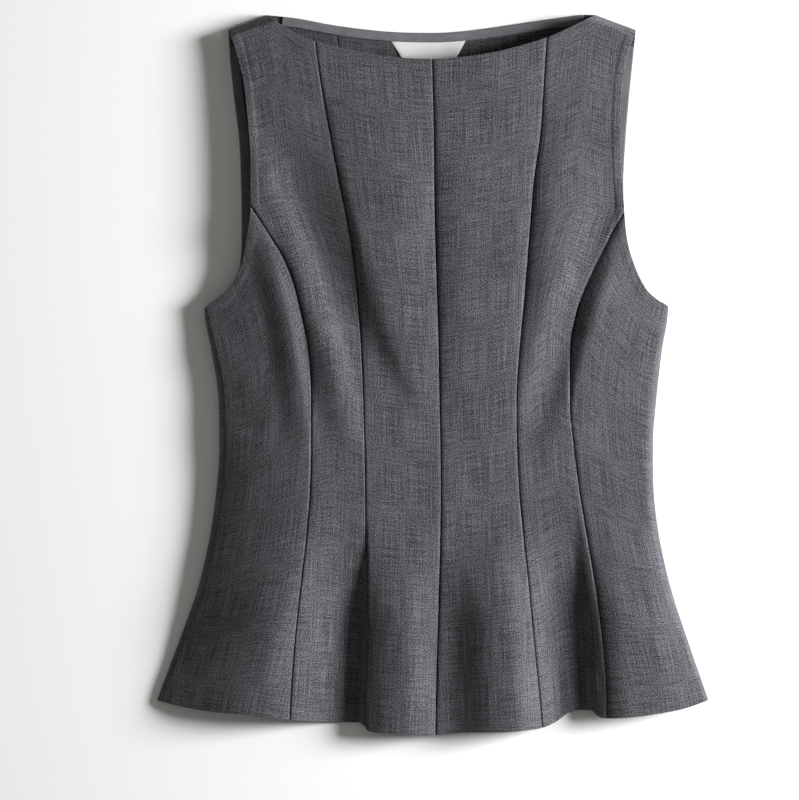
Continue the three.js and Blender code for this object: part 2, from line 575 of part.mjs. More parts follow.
// Side of the back: shoulder, armhole and side seam on the outside, the back seam on the inside
function backSide(side) {
  const inwards = side === 'left' ? 1 : -1;
  const tipX = follow(BACK_EDGES, 'y', side, SHOULDER_TIP_Y);
  const neckX = side === 'left' ? BACK_NECK[0].x : BACK_NECK[BACK_NECK.length - 1].x;
  const seamX = follow(BACK_SEAMS, 'y', side, BACK_SEAM_TOP[side]);
  const cornerX = follow(BACK_EDGES, 'y', side, HEM_CORNER_Y[side]);
  const outer = freeEdge(BACK_EDGES, side, SHOULDER_TIP_Y, HEM_CORNER_Y[side]);
  const inner = seamEdge(BACK_SEAMS, side, BACK_SEAM_TOP[side], backFoot(side).y, -inwards);
  const top = shoulderThenNeck(BACK_NECK, tipX, neckX, seamX, NECK_AT);
  const hem = crossEdge(BACK_HEM, cornerX, backFoot(side).x);
  const place = patch(outer, inner, top, hem);
  return sidedWall(side, lifted(place, backHeight), columnsAround(NECK_AT), backRows());
}

// Strip on the inside of the back, along its neckline
function neckFacing() {
  const [fromX, toX] = [-127, 125];
  const place = (u, v) => {
    const x = mix(fromX, toX, u);
    const y = follow(BACK_NECK, 'x', 'y', x) - TAPE_INSET - v * (TAPE_WIDTH - TAPE_INSET);
    return new THREE.Vector3(x, y, TAPE_TOP);
  };
  return clothWall(place, steps(0, 1, 26), [0, 0.5, 1], TAPE_WALL);
}

// Strip on the inside of the back, along one armhole
function armholeFacing(side) {
  const inwards = side === 'left' ? 1 : -1;
  const [topY, lowY] = [274, 84];
  const place = (u, v) => {
    const y = mix(topY, lowY, v);
    const slope = follow(BACK_EDGES, 'y', side, y + 0.5) - follow(BACK_EDGES, 'y', side, y - 0.5);
    const inset = mix(TAPE_INSET, TAPE_WIDTH, side === 'left' ? u : 1 - u) * Math.hypot(1, slope);
    return new THREE.Vector3(follow(BACK_EDGES, 'y', side, y) + inwards * inset, y, TAPE_TOP);
  };
  return clothWall(place, [0, 0.5, 1], steps(0, 1, 22), TAPE_WALL);
}

// White label with slanted ends, hanging from the neck strip on the inside of the back
function neckLabel() {
  const topX = [-36.4, 27.2];
  const lowX = [-24.4, 16.8];
  const lowY = 261;
  const place = (u, v) => {
    const x = mix(mix(...topX, u), mix(...lowX, u), v);
    const topY = follow(BACK_NECK, 'x', 'y', mix(...topX, u)) - TAPE_WIDTH - GAP;
    return new THREE.Vector3(x, mix(topY, lowY, v), TAPE_TOP);
  };
  return clothWall(place, steps(0, 1, 8), [0, 0.5, 1], TAPE_WALL);
}

const garment = new THREE.Group();
const cloth = suiting();
const tape = tapeCloth();
['left', 'right'].forEach((side) => {
  garment.add(piece(`front_centre_${side}`, frontCentre(side), cloth));
  garment.add(piece(`front_princess_${side}`, frontPrincess(side), cloth));
  garment.add(piece(`front_side_${side}`, frontSide(side), cloth));
  garment.add(piece(`back_side_${side}`, backSide(side), cloth));
  garment.add(piece(`armhole_facing_${side}`, armholeFacing(side), tape));
});
garment.add(piece('back_centre', backCentre(), cloth));
garment.add(piece('neck_facing_back', neckFacing(), tape));
garment.add(piece('neck_label', neckLabel(), labelSatin()));
garment.position.set(CENTRE_SHIFT.x, CENTRE_SHIFT.y, 0);

export default garment;
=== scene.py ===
# Sleeveless peplum top, laid flat on its back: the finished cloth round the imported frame.
# The tables hold millimetres. X runs across the garment, Y from hem to shoulders, Z up.
import math
from functools import partial

import bpy
import numpy as np
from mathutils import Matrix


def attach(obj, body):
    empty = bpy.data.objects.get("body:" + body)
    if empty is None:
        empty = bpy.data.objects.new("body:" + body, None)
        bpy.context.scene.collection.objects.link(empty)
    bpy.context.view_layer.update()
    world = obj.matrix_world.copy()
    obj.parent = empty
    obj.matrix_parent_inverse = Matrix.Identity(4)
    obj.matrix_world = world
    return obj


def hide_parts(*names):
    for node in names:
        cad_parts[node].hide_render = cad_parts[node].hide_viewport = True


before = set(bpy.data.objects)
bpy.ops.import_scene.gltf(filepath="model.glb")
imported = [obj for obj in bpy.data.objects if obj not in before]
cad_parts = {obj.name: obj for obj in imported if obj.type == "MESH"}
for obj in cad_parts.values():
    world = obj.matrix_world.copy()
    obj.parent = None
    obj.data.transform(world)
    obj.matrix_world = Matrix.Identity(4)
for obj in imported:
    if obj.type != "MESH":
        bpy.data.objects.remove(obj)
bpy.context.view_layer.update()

SIDES = ("left", "right")
INWARDS = {"left": 1, "right": -1}      # sign of X from each side towards the middle
ARM_SEAM = {"left": "armLeft", "right": "armRight"}
NECK_SEAM = {"left": "neckLeft", "right": "neckRight"}
NECK_END = {"left": 0, "right": -1}     # row of a neckline that lies on each shoulder


def named_rows(columns, *rows):
    """Rows with named columns. A row may leave out its last columns."""
    return [dict(zip(columns, row)) for row in rows]


def side_rows(y, x):
    """A row for each side, for points that lie at a height of their own on each side."""
    return [{"y": y[side], side: x[side]} for side in SIDES]


# Driving dimensions, in millimetres
MM = 0.001
WALL = 1.2                      # thickness of a cloth panel with its turned edge
SEAM_GAP = 0.1                  # what is left open between two panels at a seam
CENTRE_SHIFT = (1.0, -0.4)      # from the tables to the frame, whose origin is under the middle
BACK_TOP = 1.2                  # upper face of the back panels
LIP = 1.3                       # where the rolled side edges of the front end
SEAT = 2.7                      # outer face of the front where it lies on the back
TAPE_WIDTH = 8.0
TAPE_WALL = 0.8
TAPE_TOP = 2.4
LABEL_WALL = 0.45

# Where the lines of the garment start and end
TIP_Y = 288.0
SEAM_TOP = {"neckLeft": 278.0, "centre": 263.0, "neckRight": 281.0, "armLeft": 141.5, "armRight": 136.0}
BACK_SEAM_TOP = {"left": 291.7, "right": 292.8}
UNDERARM_Y = {"left": 54.5, "right": 56.0}
UNDERARM_X = {"left": -191.5, "right": 195.5}
HEM_CORNER_Y = {"left": -271.5, "right": -271.0}
HEM_CORNER_X = {"left": -231.0, "right": 229.0}
HEM_Y = -285.0
NECK_AT = 0.4                   # share of a shoulder panel's top that is shoulder seam

# Seams of the front: x of each seam at each section. The last rows hold the armhole seams alone.
FRONT_SEAMS = named_rows(
    ["y", "neckLeft", "centre", "neckRight", "armLeft", "armRight"],
    (280, -99.3, -2, 94),
    (240, -93.8, -0.8, 91.4),
    (200, -86.6, 0.2, 88.6),
    (160, -79, 0.6, 83.2),
    (120, -70.6, 1.4, 79.9, -139, 149),
    (80, -65, 2.6, 76.6, -117.8, 129.3),
    (55, -62.7, 3.4, 74.5, -111, 119.6),
    (20, -60.5, 4.3, 71.1, -104, 113.3),
    (-20, -58.8, 4.9, 68.9, -101.9, 113),
    (-60, -57.7, 5.6, 69.5, -102, 116.6),
    (-100, -57.2, 6, 71.3, -103.2, 121.7),
    (-140, -57, 5.4, 75.2, -106.6, 128.3),
    (-180, -56.3, 4.5, 80.1, -111.1, 135),
    (-220, -56.3, 3.5, 83.9, -115.2, 140.2),
    (-260, -57.3, 2.5, 88, -118.4, 143.4),
    (-295, -58.6, 1.6, 91, -120.3, 144.2),
) + [
    {"y": 141.5, "armLeft": -153},
    {"y": 136, "armRight": 158.5},
    {"y": 100, "armLeft": -126.5, "armRight": 138.5},
]

# How a front seam lies: each side drops over its own reach, into a crevice between the panels
SEAM_DROPS = named_rows(
    ["seam", "left", "leftReach", "right", "rightReach"],
    ("neckLeft", 0.1, 2.0, 0.6, 3.0),
    ("centre", 0.8, 3.0, 0.8, 5.0),
    ("neckRight", 0.8, 3.0, 0.9, 5.0),
    ("armLeft", 0.7, 3.0, 0.6, 4.0),
    ("armRight", 0.7, 3.0, 0.9, 5.0),
)
DROP_CURVE = 2.2
CREVICE_DEPTH = 1.1
CREVICE_REACH = 0.9
CREVICE_CURVE = 1.3
SEAM_RUN_ON = 2                 # how far above its top a seam still draws the cloth down
PUCKER = {"height": 0.05, "wave": 2.3, "drift": 17, "reach": 4}     # small waves along a seam

# Stretches where the cloth on both sides falls towards a seam
SEAM_SINKS = named_rows(
    ["seam", "topY", "lowY", "left", "leftReach", "right", "rightReach"],
    ("neckLeft", 262, -35, 1.9, 28, 1.9, 9),
    ("centre", 250, -65, 3.6, 34, 3.4, 24),
    ("neckRight", 250, -25, 1.8, 15, 3.8, 19),
    ("armLeft", 140, -25, 1.4, 9, 1.0, 7),
    ("armRight", 125, -30, 0.8, 6, 2.4, 12),
    ("centre", -115, -420, 1.0, 9, 0.8, 8),
)
SINK_CURVE = 1.7

# Outer edges of the front: armhole from the shoulder tip to the underarm, then the side seam
FRONT_EDGES = named_rows(
    ["y", "left", "right"],
    (288, -171.5, 168.5),
    (266, -164, 160.7),
    (242, -158.5, 157),
    (208, -155, 155),
    (175, -153, 155.8),
    (141.5, -153, 158.3),
    (113, -156.4, 160.9),
    (91, -161, 167.2),
    (72, -171.3, 176.5),
    (63.5, -181, 185),
    (20, -185.6, 190.2),
    (-20, -179.7, 185.6),
    (-60, -179.1, 182.8),
    (-100, -182, 183.7),
    (-140, -188, 189),
    (-180, -197.7, 198.4),
    (-220, -211.9, 211.4),
    (-260, -226.9, 225.2),
) + side_rows(UNDERARM_Y, UNDERARM_X) + side_rows(HEM_CORNER_Y, HEM_CORNER_X)

# Back armholes, which stand further out than the front ones
BACK_ARMHOLES = named_rows(
    ["y", "left", "right"],
    (288, -171.5, 168.5),
    (262, -170, 166),
    (225, -166, 162.3),
    (196, -162.5, 160),
    (162, -161, 158.2),
    (125, -160.5, 159),
    (96, -161.5, 164),
    (76, -166.5, 173),
    (64, -176.5, 183),
) + side_rows(UNDERARM_Y, UNDERARM_X)
BACK_EDGES = BACK_ARMHOLES + [row for row in FRONT_EDGES if row["y"] < min(UNDERARM_Y.values())]

# Seams of the back
BACK_SEAMS = named_rows(
    ["y", "left", "right"],
    (292, -81, 68),
    (160, -73, 66),
    (40, -62, 64),
    (-60, -58, 66),
    (-160, -68, 76),
    (-280, -86, 92),
)

# Necklines from one shoulder to the other, and hems from one side seam to the other
FRONT_NECK = named_rows(
    ["x", "y"],
    (-139, 300.5), (-125, 290), (-111.5, 282.7), (-99, 278), (-72.5, 271), (-48.5, 266.7),
    (-25, 264.3), (-1.5, 263.3), (23.5, 265), (48.5, 268.8), (70, 273.8), (94, 281.2), (113.5, 290),
    (135, 300.5),
)
BACK_NECK = named_rows(
    ["x", "y"],
    (-139, 300.5), (-115, 298), (-85, 292.5), (-55, 288.4), (-28.5, 286.2), (0, 285.6), (25, 287),
    (55, 290.8), (85, 295.3), (115, 299.6), (126, 300.8), (135, 300.5),
)
FRONT_HEM = named_rows(
    ["x", "y"],
    (-231, -271.5), (-210, -276.5), (-185, -280.5), (-155, -283), (-120, -287.5), (-91, -289.5),
    (-62, -290), (-54, -297), (-28, -299), (2, -300), (25, -298), (55, -297.5), (76, -296),
    (91, -294), (101.5, -289.5), (111.5, -282.5), (121.5, -279.5), (131, -279.7), (137, -284.5),
    (144, -286), (165, -285), (190, -281.5), (210, -277.5), (229, -271),
)
BACK_HEM = named_rows(
    ["x", "y"],
    (-231, -271.5), (-120, -275), (0, -277.5), (120, -276), (229, -271),
)

# Height of the outer face of the front, at seven even places across each section.
# roll is how far in from the side seam the front curves down to the back.
CROWN_COLUMNS = ["leftEdge", "leftSide", "left", "middle", "right", "rightSide", "rightEdge"]
CROWN_SECTIONS = named_rows(
    ["y", *CROWN_COLUMNS, "roll"],
    (300, 17, 17, 17, 17, 21, 21, 17, 4),
    (200, 18, 20.5, 23.5, 23, 22, 19.5, 15.5, 4),
    (130, 18, 21, 24.5, 23.5, 22.5, 21, 15.5, 4),
    (80, 13.5, 21, 24.5, 24, 23.5, 22.5, 14, 4),
    (54, 10.5, 20.5, 25, 24.5, 24, 22.5, 12.5, 4),
    (15, 13, 22, 25.5, 25, 24.5, 22.5, 17, 5),
    (-40, 13, 25, 26, 25, 24.5, 22, 18.5, 5.5),
    (-104, 10.5, 25.5, 25.5, 23.5, 22.5, 21, 18, 5.5),
    (-171, 9.5, 21, 20, 20, 20, 19.5, 16, 5.5),
    (-230, 5.5, 16.5, 15.5, 15.5, 15.5, 16, 14, 5),
    (-300, 3, 12, 12, 12, 12, 12.5, 10.5, 4),
)

# Folds of the flared skirt, left to right: where each starts, and where and how high it meets the hem
SKIRT_FOLDS = named_rows(
    ["name", "topX", "topY", "hemX", "hemHeight"],
    ("ridge_side_left", -112, -95, -145, 23.5),
    ("valley_left", -64, -110, -76, 3),
    ("foot_left", -58, -110, -64, 3.2),
    ("step_left", -53, -110, -57, 13),
    ("ridge_centre_left", -28, -118, -22, 20),
    ("valley_centre", 8, -120, 9, 11.5),
    ("flank_centre_right", 38, -118, 47, 22),
    ("ridge_centre_right", 54, -110, 68, 23.5),
    ("valley_right", 101, -88, 109, 3.6),
    ("foot_right", 111, -88, 125, 4.2),
    ("step_right", 124, -88, 138, 13.5),
    ("ridge_side_right", 150, -92, 163, 20.5),
    ("flat_side_right", 166, -92, 193, 19.5),
)
FOLD_GROWN = 0.65               # share of its length in which a skirt fold gets its whole depth
BACK_FOLLOWS_FRONT = 0.35       # share of a skirt fold's rise that the back under it takes up

# Soft drag folds of the bodice: each runs from its top to its low end, bent towards bendX
BODICE_FOLDS = named_rows(
    ["name", "topX", "topY", "bendX", "lowX", "lowY", "leftReach", "rightReach", "height"],
    ("ridge_side_left", -150, 140, -112, -106, -70, 22, 12, 4),
    ("trough_princess_left", -138, 222, -84, -42, -50, 28, 42, -7),
    ("trough_centre_left", -70, 90, -54, -10, -48, 20, 16, -1.6),
    ("ridge_princess_left", -97, 60, -81, -63, -75, 25, 18, 3.4),
    ("trough_princess_right", 158, 190, 119, 74, -78, 27, 23, -6),
)

# Small creases: four at the left side, two at the middle of the waist, three at the right side, two on the
# chest and two below the shoulders. Each is a line from one end to the other, drawn towards its bend.
CREASES = named_rows(
    ["from", "bend", "to", "reach", "height"],
    ((-176, 44), (-150, 34), (-120, 30), 9, 0.5),
    ((-174, 12), (-152, 2), (-118, -4), 11, 0.45),
    ((-168, -38), (-140, -52), (-108, -54), 10, -0.55),
    ((-172, -78), (-146, -82), (-116, -76), 12, 0.5),
    ((-52, -48), (-30, -60), (-4, -58), 9, -0.4),
    ((14, -62), (40, -56), (64, -66), 10, -0.4),
    ((182, 42), (158, 30), (132, 22), 9, 0.5),
    ((178, -4), (156, -16), (126, -20), 12, -0.5),
    ((174, -66), (150, -76), (126, -70), 11, 0.45),
    ((-84, 216), (-60, 196), (-28, 190), 13, 0.35),
    ((80, 226), (52, 206), (20, 204), 14, 0.35),
    ((-148, 252), (-128, 242), (-104, 246), 10, -0.4),
    ((148, 250), (126, 238), (104, 244), 10, -0.35),
)
CREASE_PLACES = 33              # points along a crease that distances are measured from

SHOULDER_ROLL_REACH = 8.0       # the front leaves the back in a small roll at the shoulder
SHOULDER_ROLL_SHARE = 0.75
SHOULDER_SLOPE_REACH = 80.0     # and then rises slowly down the bodice
RELIEF_FADE = 10.0              # the fine form grows from the shoulder seam over this distance
RELIEF_LEAST = 0.1

# Steps of the fine grids
NEAR_EDGE = np.array([0, 0.12, 0.26, 0.42, 0.6, 0.9, 1.3, 1.9, 2.7, 3.7, 5.0, 5.7, 6.3, 6.9, 7.6, 8.8])
COLUMN_STEP = 2.6
ROW_STEP = 3.0
ROLL_COLUMNS = 16


def mix(a, b, t):
    return a + (b - a) * t


def ease(t):
    t = np.clip(t, 0, 1)
    return t * t * (3 - 2 * t)


def calm_slope(before, after, mean):
    """Slope at a point of a curve, from the slopes beside it, that lets the curve overshoot nowhere."""
    limit = 3 * np.minimum(np.abs(before), np.abs(after))
    return np.where(before * after <= 0, 0, np.sign(mean) * np.minimum(np.abs(mean), limit))


def hermite(t, span, a, b, slope_a, slope_b):
    return (
        (1 + 2 * t) * (1 - t) ** 2 * a + t * (1 - t) ** 2 * span * slope_a
        + t * t * (3 - 2 * t) * b + t * t * (t - 1) * span * slope_b
    )


def follow(table, key, name, at):
    """Smooth curve through the rows of a table that hold the column, without overshoot."""
    rows = sorted((row[key], row[name]) for row in table if name in row)
    places, values = np.array(rows, float).T
    slopes = np.diff(values) / np.diff(places)
    mean = (values[2:] - values[:-2]) / (places[2:] - places[:-2])
    tangents = np.concatenate([slopes[:1], calm_slope(slopes[:-1], slopes[1:], mean), slopes[-1:]])
    at = np.clip(at, places[0], places[-1])
    i = np.clip(np.searchsorted(places, at, side="right") - 1, 0, len(places) - 2)
    span = places[i + 1] - places[i]
    return hermite((at - places[i]) / span, span, values[i], values[i + 1], tangents[i], tangents[i + 1])


def slope_of(table, key, name, at):
    return follow(table, key, name, at + 0.5) - follow(table, key, name, at - 0.5)


def through_values(values, t):
    """Catmull-Rom curve through evenly spaced values, t from 0 to 1, with parabolic ends."""
    last = len(values) - 1
    place = np.clip(t, 0, 1) * last
    i = np.minimum(np.floor(place).astype(int), last - 1)
    f = place - i
    a, b, c, d = (np.take_along_axis(values, np.clip(i + k, 0, last)[None], 0)[0] for k in (-1, 0, 1, 2))
    a = np.where(i == 0, 3 * b - 3 * c + d, a)
    d = np.where(i == last - 1, 3 * c - 3 * b + a, d)
    return b + 0.5 * f * (c - a + f * (2 * a - 5 * b + 4 * c - d + f * (3 * (b - c) + d - a)))


def through_lines(lines, x):
    """Smooth curve through lines whose places change from point to point, without overshoot."""
    slopes = [(vb - va) / (xb - xa) for (xa, va), (xb, vb) in zip(lines, lines[1:])]
    tangents = [slopes[0]]
    for before, after, (xa, va), (xb, vb) in zip(slopes, slopes[1:], lines, lines[2:]):
        tangents.append(calm_slope(before, after, (vb - va) / (xb - xa)))
    tangents.append(slopes[-1])
    value = 0 * x
    for (xa, va), (xb, vb), ta, tb in zip(lines, lines[1:], tangents, tangents[1:]):
        span = xb - xa
        value = np.where((x >= xa) & (x < xb), hermite((x - xa) / span, span, va, vb, ta, tb), value)
    return value


# Form of the front, as in the solids


def crown_height(x, y):
    left = follow(FRONT_EDGES, "y", "left", y)
    right = follow(FRONT_EDGES, "y", "right", y)
    values = np.stack([follow(CROWN_SECTIONS, "y", name, y) for name in CROWN_COLUMNS])
    return through_values(values, (x - left) / (right - left))


def skirt_fold(x, y):
    """Rise or fall of the skirt folds above the crown."""
    lines = [(follow(FRONT_EDGES, "y", "left", y), 0 * y)]
    for fold in SKIRT_FOLDS:
        down = np.clip((fold["topY"] - y) / (fold["topY"] - HEM_Y), 0, 1)
        crown = crown_height(np.array([fold["hemX"]]), np.array([HEM_Y]))[0]
        rise = (fold["hemHeight"] - crown) * ease(down / FOLD_GROWN)
        lines.append((mix(fold["topX"], fold["hemX"], down), rise))
    lines.append((follow(FRONT_EDGES, "y", "right", y), 0 * y))
    return through_lines(lines, x)


def bent_line(a, bend, b, t):
    """Place on a line from a to b that is drawn towards a bend."""
    return (1 - t) ** 2 * a + 2 * t * (1 - t) * bend + t * t * b


def along_fold(fold, y):
    """Share of a fold's length from its top, and how much of its height it has there."""
    t = (fold["topY"] - y) / (fold["topY"] - fold["lowY"])
    return t, np.sin(math.pi * np.clip(t, 0, 1))


def bodice_fold(x, y):
    total = 0 * x
    for fold in BODICE_FOLDS:
        t, swell = along_fold(fold, y)
        aside = x - bent_line(fold["topX"], fold["bendX"], fold["lowX"], t)
        reach = np.where(aside < 0, fold["leftReach"], fold["rightReach"])
        across = np.cos(math.pi / 2 * np.clip(np.abs(aside) / reach, 0, 1)) ** 2
        total = total + fold["height"] * swell * across
    for sink in SEAM_SINKS:
        t, swell = along_fold(sink, y)
        aside = x - follow(FRONT_SEAMS, "y", sink["seam"], y)
        reach = np.where(aside < 0, sink["leftReach"], sink["rightReach"])
        depth = np.where(aside < 0, sink["left"], sink["right"])
        total = total - depth * swell * np.clip(1 - np.abs(aside) / reach, 0, 1) ** SINK_CURVE
    return total


def shoulder_distance(x, y):
    """Distance from the nearer shoulder seam, measured square to it."""
    distances = []
    for side, neck in zip(SIDES, (FRONT_NECK[0], FRONT_NECK[-1])):
        tip_x = follow(FRONT_EDGES, "y", side, TIP_Y)
        run, rise = neck["x"] - tip_x, neck["y"] - TIP_Y
        distances.append(np.sign(run) * (run * (TIP_Y - y) - rise * (tip_x - x)) / math.hypot(run, rise))
    return np.maximum(np.minimum(*distances), 0)


def front_height(x, y):
    full = crown_height(x, y) + skirt_fold(x, y) + bodice_fold(x, y)
    near = shoulder_distance(x, y)
    roll = np.sin(math.pi / 2 * np.clip(near / SHOULDER_ROLL_REACH, 0, 1))
    slope = np.sin(math.pi / 2 * np.clip(near / SHOULDER_SLOPE_REACH, 0, 1))
    return SEAT + (full - SEAT) * mix(slope, roll, SHOULDER_ROLL_SHARE)


def back_height(x, y):
    return BACK_TOP + BACK_FOLLOWS_FRONT * np.maximum(skirt_fold(x, y), 0)


# Finer form that the cloth adds to the solids


def beside_line(table, name, x, y):
    """Signed distance from a line x(y) of a table, positive to its right."""
    lean = slope_of(table, "y", name, y)
    return (x - follow(table, "y", name, y)) / np.hypot(1, lean)


def below_line(table, x, y):
    """Distance below a line y(x) of a table."""
    lean = slope_of(table, "x", "y", x)
    return (follow(table, "x", "y", x) - y) / np.hypot(1, lean)


def seam_side(distance, drop, reach):
    """Fall of the cloth beside a seam, as a height below zero."""
    rounding = drop * np.clip(1 - distance / reach, 0, 1) ** DROP_CURVE
    crevice = CREVICE_DEPTH * np.clip(1 - distance / CREVICE_REACH, 0, 1) ** CREVICE_CURVE
    return -rounding - crevice


def seam_relief(x, y):
    """Fall of the cloth to each seam, with the small waves that the stitches draw in it."""
    total = 0 * x
    wave = PUCKER["height"] * np.sin(y / PUCKER["wave"] + 2 * np.sin(y / PUCKER["drift"]))
    for drop in SEAM_DROPS:
        aside = beside_line(FRONT_SEAMS, drop["seam"], x, y)
        left = seam_side(np.abs(aside), drop["left"], drop["leftReach"])
        right = seam_side(np.abs(aside), drop["right"], drop["rightReach"])
        sewn = y < SEAM_TOP[drop["seam"]] + SEAM_RUN_ON
        pucker = wave * np.exp(-((aside / PUCKER["reach"]) ** 2))
        total = total + np.where(sewn, np.where(aside < 0, left, right) + pucker, 0)
    return total


def crease_relief(x, y):
    total = 0 * x
    t = np.linspace(0, 1, CREASE_PLACES)
    for crease in CREASES:
        (x0, y0), (xb, yb), (x1, y1) = crease["from"], crease["bend"], crease["to"]
        away = np.hypot(x[..., None] - bent_line(x0, xb, x1, t), y[..., None] - bent_line(y0, yb, y1, t))
        along = np.sin(math.pi * t[away.argmin(-1)])
        across = np.cos(math.pi / 2 * np.clip(away.min(-1) / crease["reach"], 0, 1)) ** 2
        total = total + crease["height"] * along * across
    return total


def unevenness(x, y):
    """Slow swells that no pressed cloth is free of."""
    wide = np.sin(x / 23 + 1.3 * np.sin(y / 41)) * np.sin(y / 37 + 0.7)
    middle = np.sin(x / 11.5 + y / 29 + 1.1) * np.sin(y / 14.5 - x / 52)
    small = np.sin(x / 5.3 - y / 23 + 2 * np.sin(y / 31)) * np.sin(y / 9.1 + x / 37 + 0.4)
    return 0.22 * wide + 0.12 * middle + 0.035 * small


# Strips beside the edges that stand a little higher, because the turned cloth lies under them
ARMHOLE_BAND = {"height": 0.55, "width": 6.5, "step": 0.8}
NECK_BAND = {"height": 0.3, "width": 7.0, "step": 1.8}
HEM_BAND = {"height": 0.25, "width": 24.0, "step": 2.0}


def band(distance, kind):
    """Rise of a strip beside an edge, with a soft step at its inner side."""
    return kind["height"] * (1 - ease((distance - kind["width"] + kind["step"]) / (2 * kind["step"])))


FAR_AWAY = 1e3


def armhole_distance(table, x, y):
    """Distance from the nearer armhole edge. Below its underarm a side doesn't count."""
    away = [np.abs(beside_line(table, side, x, y)) for side in SIDES]
    past = [FAR_AWAY * (y < UNDERARM_Y[side]) for side in SIDES]
    return np.minimum(away[0] + past[0], away[1] + past[1])


def front_relief(x, y):
    fine = seam_relief(x, y) + crease_relief(x, y)
    fine = fine + band(armhole_distance(FRONT_EDGES, x, y), ARMHOLE_BAND)
    fine = fine + band(below_line(FRONT_NECK, x, y), NECK_BAND)
    fine = fine + band(-below_line(FRONT_HEM, x, y), HEM_BAND)
    return (fine + unevenness(x, y)) * np.clip(shoulder_distance(x, y) / RELIEF_FADE, RELIEF_LEAST, 1)


# A seam of the back: a shallow crevice with a low swell on each side of it
BACK_CREVICE = {"depth": 0.5, "reach": 0.8, "curve": 1.4}
BACK_SWELL = {"height": 0.2, "aside": 4, "reach": 3}
BACK_UNEVENNESS = {"share": 0.3, "shiftX": 31, "shiftY": -17, "lift": 0.35}


def back_relief(x, y):
    crevice, swell, slow = BACK_CREVICE, BACK_SWELL, BACK_UNEVENNESS
    total = 0 * x
    for side in SIDES:
        aside = np.abs(beside_line(BACK_SEAMS, side, x, y))
        fall = crevice["depth"] * np.clip(1 - aside / crevice["reach"], 0, 1) ** crevice["curve"]
        rise = swell["height"] * np.exp(-(((aside - swell["aside"]) / swell["reach"]) ** 2))
        total = total - fall + rise
    return total + slow["share"] * (unevenness(x + slow["shiftX"], y + slow["shiftY"]) + slow["lift"])


ROUNDING = 0.5                  # radius of a turned edge
BACK_LOWER_ROUNDING = 0.4       # share of it at the lower edges of the back


def edge_rounding(distance):
    inside = np.clip(1 - distance / ROUNDING, 0, 1)
    return ROUNDING * (1 - np.sqrt(1 - inside**2))


def front_edge_distance(x, y):
    return np.minimum.reduce([
        armhole_distance(FRONT_EDGES, x, y),
        np.abs(below_line(FRONT_NECK, x, y)),
        np.abs(below_line(FRONT_HEM, x, y)),
        shoulder_distance(x, y),
    ])


def back_edge_distance(x, y):
    return np.minimum.reduce([
        np.abs(beside_line(BACK_EDGES, "left", x, y)),
        np.abs(beside_line(BACK_EDGES, "right", x, y)),
        np.abs(below_line(BACK_NECK, x, y)),
        np.abs(below_line(BACK_HEM, x, y)),
    ])


# Outlines of the panels. An edge is a function from shares between 0 and 1 to places.


def side_line(table, name, top_y, low_y, aside=0.0):
    def edge(t):
        y = mix(top_y, low_y, t)
        x = follow(table, "y", name, y) + aside * np.hypot(1, slope_of(table, "y", name, y))
        return np.stack([x, y], -1)
    return edge


def cross_line(table, from_x, to_x):
    def edge(t):
        x = mix(from_x, to_x, t)
        return np.stack([x, follow(table, "x", "y", x)], -1)
    return edge


def armhole_then_seam(side, seam, low_y, aside):
    free = side_line(FRONT_EDGES, side, TIP_Y, low_y)
    sewn = side_line(FRONT_SEAMS, seam, TIP_Y, low_y, aside)

    def edge(t):
        above = mix(TIP_Y, low_y, t) > SEAM_TOP[seam] + 1e-6
        return np.where(above[..., None], free(t), sewn(t))
    return edge


def shoulder_then_neck(table, side, seam_x):
    neck_x = table[NECK_END[side]]["x"]
    neck = np.array([neck_x, follow(table, "x", "y", neck_x)])
    tip = np.array([follow(BACK_EDGES, "y", side, TIP_Y), TIP_Y])
    stretch = cross_line(table, neck_x, seam_x)

    def edge(t):
        shoulder = mix(tip, neck, (t / NECK_AT)[..., None])
        return np.where((t <= NECK_AT)[..., None], shoulder, stretch((t - NECK_AT) / (1 - NECK_AT)))
    return edge


def seam_foot(seams, name, hem):
    """Where a seam x(y) meets the hem y(x)."""
    y = HEM_Y
    for _ in range(6):
        y = follow(hem, "x", "y", follow(seams, "y", name, y))
    return {"x": float(follow(seams, "y", name, y)), "y": float(y)}


def patch(left, right, top, hem):
    """Place in the outline between four edges."""
    def place(u, v):
        a, b = u[..., None], v[..., None]
        zero, one = np.zeros_like(u), np.ones_like(u)
        sides = left(v) * (1 - a) + right(v) * a
        ends = top(u) * (1 - b) + hem(u) * b
        upper = top(zero) * (1 - a) * (1 - b) + top(one) * a * (1 - b)
        return sides + ends - upper - hem(zero) * (1 - a) * b - hem(one) * a * b
    return place


def mirrored(place, side):
    """A panel's outline whose u runs inwards from its own side, turned to run left to right."""
    return place if side == "left" else (lambda u, v: place(1 - u, v))


def shares(lengths, step, stops=()):
    """Shares along each length: close together near both ends, even between the stops."""
    lengths = np.asarray(lengths, float)
    near = NEAR_EDGE / lengths[..., None]
    marks = [near[..., -1], *(stop + 0 * lengths for stop in stops), 1 - near[..., -1]]
    parts = [near[..., :-1]]
    for a, b in zip(marks, marks[1:]):
        count = max(int(np.ceil(np.max((b - a) * lengths) / step)), 1)
        parts.append(a[..., None] + (b - a)[..., None] * np.arange(count) / count)
    return np.concatenate([*parts, 1 - near[..., ::-1]], -1)


# Meshes


def grid_normals(points):
    down = np.gradient(points, axis=0)
    across = np.gradient(points, axis=1)
    normals = np.cross(down, across)
    return normals / np.linalg.norm(normals, axis=-1, keepdims=True)


